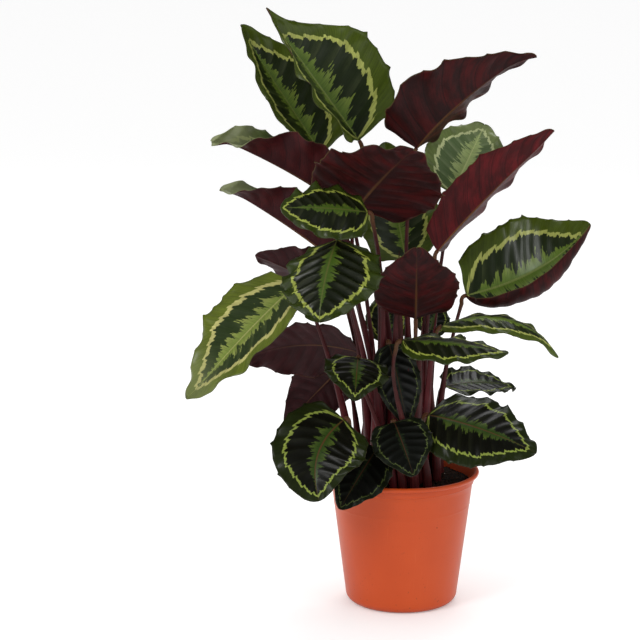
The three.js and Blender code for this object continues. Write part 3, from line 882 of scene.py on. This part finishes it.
# %% Build all blades
strays = [build_blade(name, leaf, seed) for seed, (name, leaf) in enumerate(LEAVES.items())]
print("blades:", len(strays), "furthest past its solid:", round(max(strays), 1), "mm")

# %% [markdown]
# ## The stalks
# A petiole rises from a sheath that wraps the stem, thins into a round stalk, and ends in a short swollen
# knee that turns the blade to the light. It is a tube swept along a path. Sweeping by hand keeps the same
# path as the measured solid, lets the radius change, and cuts a shallow channel down the inner side as the
# real one has.

# %% Build one stalk
STALK_STEPS = 30
KNEE_STEPS = 8
STALK_SIDES = 16
CHANNEL_WIDTH = 0.55
SHEATH_RADIUS = 5.6
SHEATH_SWELL = 1.25
STALK_RADIUS = 2.6
KNEE_RADIUS = 3.0
KNEE_LENGTH = 8
KNEE_DROP = 4
SOIL_TOP = 166
SOIL_CROWN = 5
CROWN_RADIUS = 78
SOIL_EDGE = 94.3
BURIED = 4


def soil_height(radius):
    """The soil's height at a distance from the pot's middle."""
    slope = (radius - CROWN_RADIUS) / (SOIL_EDGE - CROWN_RADIUS)
    return SOIL_TOP + SOIL_CROWN * (1 - min(max(slope, 0), 1))


def bezier(controls, t):
    """Points at t on a curve with three or four controls."""
    t = t[:, None]
    if len(controls) == 3:
        a, b, c = controls
        return a * (1 - t) ** 2 + b * 2 * t * (1 - t) + c * t**2
    a, b, c, d = controls
    return a * (1 - t) ** 3 + b * 3 * t * (1 - t) ** 2 + c * 3 * t**2 * (1 - t) + d * t**3


def stalk_path(leaf):
    """The stalk's middle line, from under the soil to its blade, and the way the midrib starts."""
    ends = midrib(leaf, np.array([0.0, 0.01]))
    tangent = unit(ends[1] - ends[0])
    up = leaf_directions(leaf)[2]
    z = np.array([0, 0, 1.0])
    inward = math.hypot(*leaf.foot) - SHEATH_RADIUS
    foot = np.array([*leaf.foot, soil_height(inward) - BURIED])
    end = ends[0] - tangent * 0.1
    bend = end - tangent * KNEE_LENGTH
    elbow = bend - up * KNEE_DROP - z * KNEE_LENGTH
    rise = elbow[2] - foot[2]
    leaving = foot + z * rise * 0.4
    arriving = elbow - tangent * rise * 0.08 - z * rise * 0.25
    stalk = bezier((foot, leaving, arriving, elbow), np.linspace(0, 1, STALK_STEPS + 1))
    knee = bezier((elbow, bend, end), np.linspace(0, 1, KNEE_STEPS + 1))
    return np.concatenate([stalk, knee[1:]]), tangent


def ring_faces(grid):
    """Quads between rings of points: each row of grid is one ring, and each ring closes on itself."""
    turned = np.roll(grid, -1, axis=1)
    return np.stack([grid[:-1], turned[:-1], turned[1:], grid[1:]], -1).reshape(-1, 4).tolist()


def build_stalk(name, leaf, seed):
    """Adds one stalk: a tube that narrows from its sheath and swells at its knee."""
    path, tangent = stalk_path(leaf)
    last = len(path) - 1
    ahead = unit(np.gradient(path, axis=0))
    ahead[-1] = tangent
    i = np.arange(last + 1)
    share = np.minimum(i / STALK_STEPS, 1)
    knee = smooth(i, STALK_STEPS - 2, STALK_STEPS) * (1 - 0.3 * smooth(i, last - 2, last))
    sheath = SHEATH_RADIUS * SHEATH_SWELL
    radius = sheath + (STALK_RADIUS - sheath) * smooth(share, 0.05, 0.75)
    radius = radius + (KNEE_RADIUS - STALK_RADIUS) * knee + 0.12 * np.sin(i * 1.1 + seed)
    angle = np.linspace(0, 2 * np.pi, STALK_SIDES, endpoint=False)
    depth = 0.1 + 0.1 * (1 - smooth(share, 0, 0.7))
    channel = 1 - depth[:, None] * np.exp(-(((angle - np.pi) / CHANNEL_WIDTH) ** 2))
    across = np.array([1.0, 0, 0])
    rings = []
    for k in range(last + 1):
        across = unit(across - ahead[k] * across.dot(ahead[k]))
        other = np.cross(ahead[k], across)
        r = (radius[k] * channel[k])[:, None]
        rings.append(path[k] + across * r * np.cos(angle)[:, None] + other * r * np.sin(angle)[:, None])
    points = np.concatenate(rings) * MM
    grid = np.arange(len(points)).reshape(last + 1, STALK_SIDES)
    faces = [*ring_faces(grid), grid[0][::-1].tolist(), grid[-1].tolist()]
    piece = add_piece("stalk_" + name, points, faces, [STALK_FINISH], "petiole_" + name)
    rounds = np.tile(angle / (2 * np.pi), last + 1)
    stalk_map = np.stack([rounds, np.repeat(share, STALK_SIDES), np.repeat(knee, STALK_SIDES)], -1)
    add_attribute(piece, "stalk_map", "FLOAT_VECTOR", stalk_map)
    add_attribute(piece, "stalk_seed", "FLOAT", np.full(len(points), seed / len(LEAVES)))


print("one stalk:", (STALK_STEPS + KNEE_STEPS + 1) * STALK_SIDES, "points")

# %% [markdown]
# ## The stalks' finish
# The sheath is wine red and drawn in long fibres, the stalk browner with a green cast, and the knee olive.
# The fibres are noise squeezed round the stalk and stretched along it. Each stalk carries its own small
# number, so that some are redder than others.

# %% Stalk finish
STALK_FINISH, n, sockets = new_material("stalk_skin")
rounds, share, knee = n.split(n.attribute("stalk_map").outputs["Vector"])
own = n.attribute("stalk_seed").outputs["Fac"]
place = n.object_place()
circle = n.times(rounds, 2 * math.pi)
wrapped = n.vector(n.math("COSINE", circle), n.math("SINE", circle), n.line(share, 1.6, own))
fibres = n.noise(wrapped, 5.0, 4.0, 0.7)
mottle = n.noise(place, 60.0, 3.0)
colour = n.mix(n.ramp(share, 0.1, 0.75), rgb(98, 20, 28), rgb(72, 24, 25))
colour = n.mix(n.ramp(own, 0.2, 0.9, 0.0, 0.45), colour, rgb(58, 36, 24))
colour = n.mix(n.ramp(fibres, 0.4, 0.72, 0.0, 0.7), colour, rgb(34, 12, 13))
colour = n.mix(n.ramp(mottle, 0.5, 0.8, 0.0, 0.35), colour, rgb(112, 44, 44))
colour = n.mix(n.times(knee, 0.6), colour, rgb(98, 68, 36))
n.fill(sockets, Base_Color=colour, Roughness=n.line(mottle, 0.25, 0.34))
n.fill(sockets, Normal=n.bump(fibres, 0.5, 0.0006), Specular_IOR_Level=0.22)

for seed, (name, leaf) in enumerate(LEAVES.items()):
    build_stalk(name, leaf, seed)
print("stalks:", len(LEAVES))

# %% [markdown]
# ## Old sheaths round the clump
# Each shoot starts inside a few leafless sheaths, which stay as narrow burgundy scales wrapped round the
# foot of the clump. They fill the gaps between the stalks. Each is a gutter of thin skin, wide at the foot
# and pointed at the top, that leans outwards a little. The same closed sheet serves as for the blades.

# %% Build the sheaths
SHEATH_ROWS = 24
SHEATH_COLUMNS = 13
SHEATH_SKIN = 0.7
# One row per sheath: where it stands (x, y), the angle that its back faces, its height, width and lean.
SHEATHS = (
    (-34, -38, 250, 210, 26, 18), (-12, -30, 280, 260, 26, 12), (16, -34, 300, 230, 26, 14),
    (30, -20, 330, 280, 24, 20), (-46, -2, 190, 230, 24, 24), (-24, 22, 120, 270, 24, 12),
    (6, 26, 80, 260, 24, 10), (34, 22, 40, 250, 24, 18), (-6, -8, 260, 320, 28, 6),
    (22, 2, 10, 300, 24, 10), (-26, -14, 215, 300, 28, 12), (4, -46, 275, 170, 24, 14),
)


def build_sheath(index, row):
    """Adds one leafless sheath: a gutter of thin skin that leans outwards."""
    x, y, back, height, width, lean = row
    faces, _ = closed_sheet_faces(SHEATH_ROWS, SHEATH_COLUMNS)
    t = np.linspace(0, 1, SHEATH_ROWS)[:, None]
    s = np.linspace(-1, 1, SHEATH_COLUMNS)[None, :]
    reach = width / 2 * np.maximum(1 - t**2.2, 0.03) * (1 + 0.05 * np.sin(9 * t + index))
    angle = math.radians(back)
    out = np.array([math.cos(angle), math.sin(angle), 0])
    side = np.array([-math.sin(angle), math.cos(angle), 0])
    bend = s * (1.35 - 0.7 * t)
    depth = reach * (np.cos(bend) - 0.6) + lean * t**2
    over = reach * np.sin(bend) + 1.2 * np.sin(5 * t + index) * t
    foot = np.array([x, y, soil_height(math.hypot(x, y)) - BURIED])
    surface = foot + depth[..., None] * out + over[..., None] * side
    surface = surface + (height * t * np.ones_like(s))[..., None] * np.array([0, 0, 1.0])
    normal = grid_normals(surface) * SHEATH_SKIN / 2
    points = two_skins(surface + normal, surface - normal)
    piece = add_piece(f"old_sheath_{index}", points, faces, [STALK_FINISH])
    around = np.broadcast_to(0.25 + 0.2 * s, surface.shape[:2])
    share = np.broadcast_to(0.7 * t, surface.shape[:2])
    sheath_map = np.stack([around, share, np.zeros_like(share)], -1).reshape(-1, 3)
    add_attribute(piece, "stalk_map", "FLOAT_VECTOR", np.concatenate([sheath_map, sheath_map]))
    add_attribute(piece, "stalk_seed", "FLOAT", np.full(len(points), (index * 0.37) % 1))


for index, row in enumerate(SHEATHS):
    build_sheath(index, row)
print("old sheaths:", len(SHEATHS))

# %% [markdown]
# ## The pot
# The nursery pot is one thin plastic moulding: a round, slightly flared wall, a rolled lip for stiffness, a
# small step under the lip where pots stack, and a faint fill line. A turned shape is a profile spun round an
# axis, so the profile is listed once and numpy spins it.

# %% Pot profile
POT_HEIGHT = 184
RIM_RADIUS = 105
FOOT_RADIUS = 75
POT_WALL = 1.8
POT_ROUND = 12
RIM_ROLL = 3.2
STEP_HEIGHT = 9
STEP_OUT = 0.4
LINE_HEIGHT = 138
LINE_OUT = 0.3
LINE_HALF = 0.9
POT_SEGMENTS = 192


def wall_radius(z):
    """The wall's outer radius at height z."""
    return FOOT_RADIUS + (RIM_RADIUS - 2 * RIM_ROLL - FOOT_RADIUS) * z / POT_HEIGHT


def arc(centre, radius, start, end, steps):
    """Points of a circle's arc in the profile's plane, from start to end in degrees."""
    angles = np.radians(np.linspace(start, end, steps))
    return [(centre[0] + radius * math.cos(a), centre[1] + radius * math.sin(a)) for a in angles]


def pot_profile():
    """The pot's outline as (radius, height), from under its base, over the lip and down inside."""
    corner = wall_radius(POT_ROUND) - POT_ROUND
    outline = [(0, 0), (20, 0), (FOOT_RADIUS - 22, 0), (FOOT_RADIUS - 20, 0)]
    outline += arc((corner, POT_ROUND), POT_ROUND, -90, 0, 12)
    neck = POT_HEIGHT - 2 * RIM_ROLL - 1
    marks = [LINE_HEIGHT - LINE_HALF, LINE_HEIGHT, LINE_HEIGHT + LINE_HALF]
    for z in sorted([*np.linspace(POT_ROUND + 6, neck - STEP_HEIGHT, 24), *marks]):
        outline.append((wall_radius(z) + (LINE_OUT if z == LINE_HEIGHT else 0), z))
    outline.append((wall_radius(neck - STEP_HEIGHT) + 0.3, neck - STEP_HEIGHT + 0.4))
    outline.append((wall_radius(neck) + STEP_OUT, neck - STEP_HEIGHT + 1.4))
    outline.append((wall_radius(neck) + STEP_OUT, neck))
    outline += arc((RIM_RADIUS - RIM_ROLL, POT_HEIGHT - RIM_ROLL), RIM_ROLL, -100, 165, 18)
    for z in np.linspace(POT_HEIGHT - 3 * RIM_ROLL, POT_ROUND, 8):
        outline.append((wall_radius(z) - POT_WALL, z))
    outline += [(wall_radius(0) - POT_ROUND, POT_WALL), (0, POT_WALL)]
    return outline


def turned_mesh(profile, segments):
    """Spins [radius, height] pairs, in millimetres, round Z. The first and last lie on the axis."""
    angles = np.linspace(0, 2 * np.pi, segments, endpoint=False)
    inner = np.array(profile[1:-1])
    rings = [np.stack([r * np.cos(angles), r * np.sin(angles), np.full(segments, z)], 1) for r, z in inner]
    points = np.concatenate([[[0, 0, profile[0][1]]], *rings, [[0, 0, profile[-1][1]]]])
    grid = 1 + np.arange(len(inner) * segments).reshape(len(inner), segments)
    turned = np.roll(grid, -1, axis=1)
    bottom = [[0, b, a] for a, b in zip(grid[0].tolist(), turned[0].tolist())]
    top = [[len(points) - 1, a, b] for a, b in zip(grid[-1].tolist(), turned[-1].tolist())]
    return points, bottom + ring_faces(grid) + top


pot_points, pot_faces = turned_mesh(pot_profile(), POT_SEGMENTS)
print("pot before drilling:", len(pot_points), "points,", len(pot_faces), "faces")

# %% [markdown]
# ## Coloured plastic
# Moulded polypropylene is nearly even in colour, and what makes it real is small: a chalky variation where
# light scatters in it, fine vertical scuffs from stacking, specks of soil that are thickest near the foot,
# and a gloss that changes with wear. The bark crumbs use the same wear and dust, so they are a shared group.

# %% Shared group: wear
wear, n, given, result = new_group(
    "wear", {"Scuffs": 0.5, "Dust": 0.5}, {"Scuff": "Float", "Dust": "Float", "Height": "Float"}
)
place = n.object_place()
x, y, z = n.split(place)
around_pot = n.math("ARCTAN2", y, x)
stretched = n.vector(n.times(around_pot, 24.0), n.times(z, 14.0), 0.0)
streaks = n.noise(stretched, 1.0, 5.0, 0.75)
patches = n.noise(place, 16.0, 3.0)
scuff = n.times(n.ramp(streaks, 0.56, 0.78), n.ramp(patches, 0.4, 0.7))
specks = n.ramp(n.noise(place, 260.0, 2.0), 0.68, 0.74)
low = n.ramp(z, 0.0, 0.07, 1.0, 0.25)
dust = n.times(n.times(specks, low), given["Dust"])
height = n.plus(n.times(streaks, 0.3), n.noise(place, 700.0, 2.0))
n.fill(result, Scuff=n.times(scuff, given["Scuffs"]), Dust=dust, Height=height)
print("wear group:", len(wear.nodes), "nodes")

# %% Pot finish
POT_FINISH, n, sockets = new_material("pot_plastic")
place = n.object_place()
worn = n.group(wear, Scuffs=0.6, Dust=0.7)
cloud = n.noise(place, 9.0, 3.0)
colour = n.mix(n.ramp(cloud, 0.3, 0.7), rgb(189, 70, 22), rgb(198, 77, 28))
colour = n.mix(n.times(worn["Scuff"], 0.45), colour, rgb(216, 114, 66))
colour = n.mix(worn["Dust"], colour, rgb(104, 50, 30))
n.fill(sockets, Base_Color=colour, Roughness=n.line(worn["Scuff"], 0.3, 0.34))
n.fill(sockets, Normal=n.bump(worn["Height"], 0.12, 0.0004), Specular_IOR_Level=0.35)
print("pot finish:", len(n.tree.nodes), "nodes")

# %% [markdown]
# ## Drainage holes
# Water leaves the pot through six round holes in its base. They could be modelled into the profile's mesh by
# hand, but a Boolean modifier cuts them exactly: six short drills, made by the same turning function, are
# taken away from the wall. A clean-up then merges the slivers that a cut leaves, so that the shell is closed.

# %% Cut the drainage holes
DRAIN_HOLES = 6
HOLE_RADIUS = 6
HOLE_CIRCLE = 44
SLIVER = 0.00002
SHARP_DEGREES = 40


def plain_object(name, points, faces):
    """A mesh object from points in millimetres, for modifiers to work on."""
    mesh = bpy.data.meshes.new(name)
    mesh.from_pydata((np.asarray(points) * MM).tolist(), [], faces)
    return link_object(name, mesh)


def applied(source, name):
    """The mesh that an object's modifiers make, as a plain mesh of its own."""
    evaluated = source.evaluated_get(bpy.context.evaluated_depsgraph_get())
    mesh = bpy.data.meshes.new_from_object(evaluated)
    mesh.name = name
    return mesh


blank = plain_object("pot_blank", pot_points, pot_faces)
drill_points, drill_faces = [], []
for k in range(DRAIN_HOLES):
    angle = 2 * math.pi * k / DRAIN_HOLES
    one, one_faces = turned_mesh([(0, -4), (HOLE_RADIUS, -4), (HOLE_RADIUS, 6), (0, 6)], 32)
    one = one + np.array([HOLE_CIRCLE * math.cos(angle), HOLE_CIRCLE * math.sin(angle), 0])
    drill_faces += [[i + len(drill_points) for i in face] for face in one_faces]
    drill_points += one.tolist()
drill = plain_object("drill", drill_points, drill_faces)
cut = blank.modifiers.new("drain", "BOOLEAN")
cut.operation = "DIFFERENCE"
cut.object = drill
cut.solver = "EXACT"
pot_mesh = applied(blank, "pot_shell")
for spare in (blank, drill):
    bpy.data.objects.remove(spare)
cleaned = bmesh.new()
cleaned.from_mesh(pot_mesh)
bmesh.ops.remove_doubles(cleaned, verts=cleaned.verts, dist=SLIVER)
bmesh.ops.dissolve_degenerate(cleaned, dist=SLIVER, edges=cleaned.edges)
print("pot edges not shared by two faces:", sum(not edge.is_manifold for edge in cleaned.edges))
cleaned.to_mesh(pot_mesh)
cleaned.free()
pot_mesh.materials.clear()
pot_mesh.materials.append(POT_FINISH)
pot_mesh.shade_smooth()
pot_mesh.set_sharp_from_angle(angle=math.radians(SHARP_DEGREES))
tie_piece("pot_shell", pot_mesh, "pot")
print("pot:", len(pot_mesh.polygons), "faces")

# %% [markdown]
# ## The soil
# Potting mix is never flat: it heaps up against the stalks and sinks where it was watered. The bed is a
# turned solid whose top rings are moved up and down by noise. It stays just inside the wall, and shows only
# on top.

# %% Soil bed
SOIL_GAP = 0.4
SOIL_RINGS = 46
SOIL_SEGMENTS = 150
SOIL_ROUGH = 1.8


def soil_bed():
    """Points and faces of the soil, with a rough top."""
    edge = wall_radius(SOIL_TOP) - POT_WALL - SOIL_GAP
    profile = [(0, POT_WALL + SOIL_GAP), (wall_radius(0) - POT_ROUND - 1, POT_WALL + SOIL_GAP)]
    profile.append((wall_radius(POT_ROUND) - POT_WALL - SOIL_GAP, POT_ROUND))
    profile += [(r, soil_height(r)) for r in np.linspace(edge, 1.5, SOIL_RINGS)]
    profile.append((0, soil_height(0)))
    points, faces = turned_mesh(profile, SOIL_SEGMENTS)
    for p in points:
        if p[2] > SOIL_TOP - 1:
            coarse = noise.noise(Vector(p) * 0.05)
            fine = noise.noise(Vector(p) * 0.21)
            grain = noise.noise(Vector(p) * 0.6)
            inside = min(1, (edge - math.hypot(p[0], p[1])) / 4 + 0.2)
            p[2] += SOIL_ROUGH * (1.1 * coarse + 0.8 * fine + 0.5 * grain) * inside
    return points, faces


soil_points, soil_faces = soil_bed()
print("soil bed:", len(soil_points), "points")

# %% [markdown]
# ## The soil's finish
# Damp peat is almost black, and paler where it has dried. Two sizes of noise are enough: small clods set the
# colour and the bumps, and broad patches make some of it darker and glossier, as wet soil is.

# %% Soil finish
SOIL_FINISH, n, sockets = new_material("potting_mix")
place = n.object_place()
clods = n.noise(place, 130.0, 5.0, 0.7)
damp = n.noise(place, 22.0, 3.0)
colour = n.mix(n.ramp(clods, 0.35, 0.7), rgb(18, 11, 8), rgb(50, 33, 23))
colour = n.mix(n.ramp(damp, 0.4, 0.7, 0.0, 0.6), colour, rgb(14, 9, 7))
n.fill(sockets, Base_Color=colour, Roughness=n.ramp(damp, 0.4, 0.7, 0.95, 0.7))
n.fill(sockets, Normal=n.bump(clods, 0.9, 0.002), Specular_IOR_Level=0.12)

soil = add_piece("soil_bed", soil_points * MM, soil_faces, [SOIL_FINISH], "soil")
print("soil:", len(soil_faces), "faces")

# %% [markdown]
# ## Crumbs, by Geometry Nodes
# Bark chips, peat crumbs and perlite lie on the soil by the hundred. That is work for Geometry Nodes:
# scatter points on the faces that look up, put a crumpled grain on each, and turn and scale it at random
# from a fixed seed. The tree's inputs are named, so the same tree makes each kind of grain.

# %% A tree that scatters grains
FACES_UP = 0.6


def grain_tree():
    """Builds the Geometry Nodes tree, with a named input for each size."""
    tree = bpy.data.node_groups.new("scatter_grains", "GeometryNodeTree")
    n = Nodes(tree)
    face = tree.interface
    face.new_socket("Ground", in_out="INPUT", socket_type="NodeSocketGeometry")
    for label, kind, default in (
        ("Per Square Metre", "Float", 8000.0),
        ("Grain Size", "Float", 0.003),
        ("Flatness", "Float", 0.5),
        ("Seed", "Int", 1),
    ):
        face.new_socket(label, in_out="INPUT", socket_type="NodeSocket" + kind).default_value = default
    face.new_socket("Finish", in_out="INPUT", socket_type="NodeSocketMaterial")
    face.new_socket("Grains", in_out="OUTPUT", socket_type="NodeSocketGeometry")

    def add(kind, inputs, **settings):
        """Adds a node. inputs maps a socket's name or number to a value or to another node's output."""
        node = tree.nodes.new(kind)
        for key, value in settings.items():
            setattr(node, key, value)
        for key, value in inputs.items():
            n.put(value, node.inputs[key])
        return node.outputs

    given = add("NodeGroupInput", {})
    looks = add("GeometryNodeInputNormal", {})
    parts = add("ShaderNodeSeparateXYZ", {0: looks[0]})
    level = {"A": parts["Z"], "B": FACES_UP}
    upward = add("FunctionNodeCompare", level, data_type="FLOAT", operation="GREATER_THAN")
    scattered = {
        "Mesh": given["Ground"],
        "Selection": upward["Result"],
        "Density": given["Per Square Metre"],
        "Seed": given["Seed"],
    }
    scatter = add("GeometryNodeDistributePointsOnFaces", scattered, distribute_method="RANDOM")

    grain = add("GeometryNodeMeshIcoSphere", {"Radius": 0.5, "Subdivisions": 2})
    crumple = add("ShaderNodeTexNoise", {"Scale": 1.6})
    centred = add("ShaderNodeVectorMath", {0: crumple["Color"], 1: (0.5, 0.5, 0.5)}, operation="SUBTRACT")
    less = add("ShaderNodeVectorMath", {0: centred[0], "Scale": 0.9}, operation="SCALE")
    crumpled = add("GeometryNodeSetPosition", {"Geometry": grain["Mesh"], "Offset": less[0]})

    turning = {"Max": (0.5, 0.5, 2 * math.pi), "Seed": given["Seed"]}
    turn = add("FunctionNodeRandomValue", turning, data_type="FLOAT_VECTOR")
    size = add("FunctionNodeRandomValue", {2: 0.45, 3: 1.3, "Seed": given["Seed"]}, data_type="FLOAT")
    grown = add("ShaderNodeMath", {0: size[1], 1: given["Grain Size"]}, operation="MULTIPLY")
    flat = add("ShaderNodeMath", {0: grown[0], 1: given["Flatness"]}, operation="MULTIPLY")
    scale = add("ShaderNodeCombineXYZ", {"X": grown[0], "Y": grown[0], "Z": flat[0]})

    placed = {
        "Points": scatter["Points"],
        "Instance": crumpled["Geometry"],
        "Rotation": turn["Value"],
        "Scale": scale[0],
    }
    place = add("GeometryNodeInstanceOnPoints", placed)
    real = add("GeometryNodeRealizeInstances", {0: place[0]})
    painted = add("GeometryNodeSetMaterial", {"Geometry": real[0], "Material": given["Finish"]})
    add("NodeGroupOutput", {0: painted[0]})
    return tree


GRAINS = grain_tree()
print("grain tree:", len(GRAINS.nodes), "nodes")

# %% [markdown]
# ## Bark and perlite
# The bark is dull brown with dust in its hollows, so it takes the pot's wear group with other values. Perlite
# is a white volcanic foam that soil stains, so it has fine bumps and a slightly dirty white.

# %% Grain finishes
BARK_FINISH, n, sockets = new_material("bark_crumb")
place = n.object_place()
worn = n.group(wear, Scuffs=0.4, Dust=1.0)
colour = n.mix(n.noise(place, 90.0, 3.0), rgb(20, 12, 8), rgb(68, 44, 29))
colour = n.mix(worn["Dust"], colour, rgb(110, 86, 62))
n.fill(sockets, Base_Color=colour, Normal=n.bump(n.noise(place, 900.0, 3.0), 0.6, 0.0006))
n.fill(sockets, Roughness=0.9, Specular_IOR_Level=0.15)

PERLITE_FINISH, n, sockets = new_material("perlite")
place = n.object_place()
colour = n.mix(n.noise(place, 400.0, 3.0), rgb(150, 138, 120), rgb(206, 198, 184))
bumps = n.bump(n.noise(place, 1500.0, 3.0), 0.7, 0.0004)
n.fill(sockets, Base_Color=colour, Normal=bumps, Roughness=0.95)
print("grain finishes: bark and perlite")

# %% Scatter the grains


def scatter_grains(name, density, size, flatness, seed, finish):
    """Runs the tree over the soil bed, and keeps its result as a plain mesh piece."""
    ground = link_object(name + "_ground", soil.data.copy())
    modifier = ground.modifiers.new("grains", "NODES")
    modifier.node_group = GRAINS
    values = {
        "Per Square Metre": density,
        "Grain Size": size,
        "Flatness": flatness,
        "Seed": seed,
        "Finish": finish,
    }
    for item in GRAINS.interface.items_tree:
        if item.in_out == "INPUT" and item.name in values:
            modifier[item.identifier] = values[item.name]
    mesh = applied(ground, name)
    bpy.data.objects.remove(ground)
    mesh.shade_smooth()
    tie_piece(name, mesh)
    print(name, len(mesh.polygons), "faces")


scatter_grains("bark_crumbs", 26000.0, 0.0036, 0.55, 3, BARK_FINISH)
scatter_grains("perlite_grains", 900.0, 0.0022, 0.8, 8, PERLITE_FINISH)

# %% [markdown] ## Finish The visual model must stay inside the measured box, give or take a little.
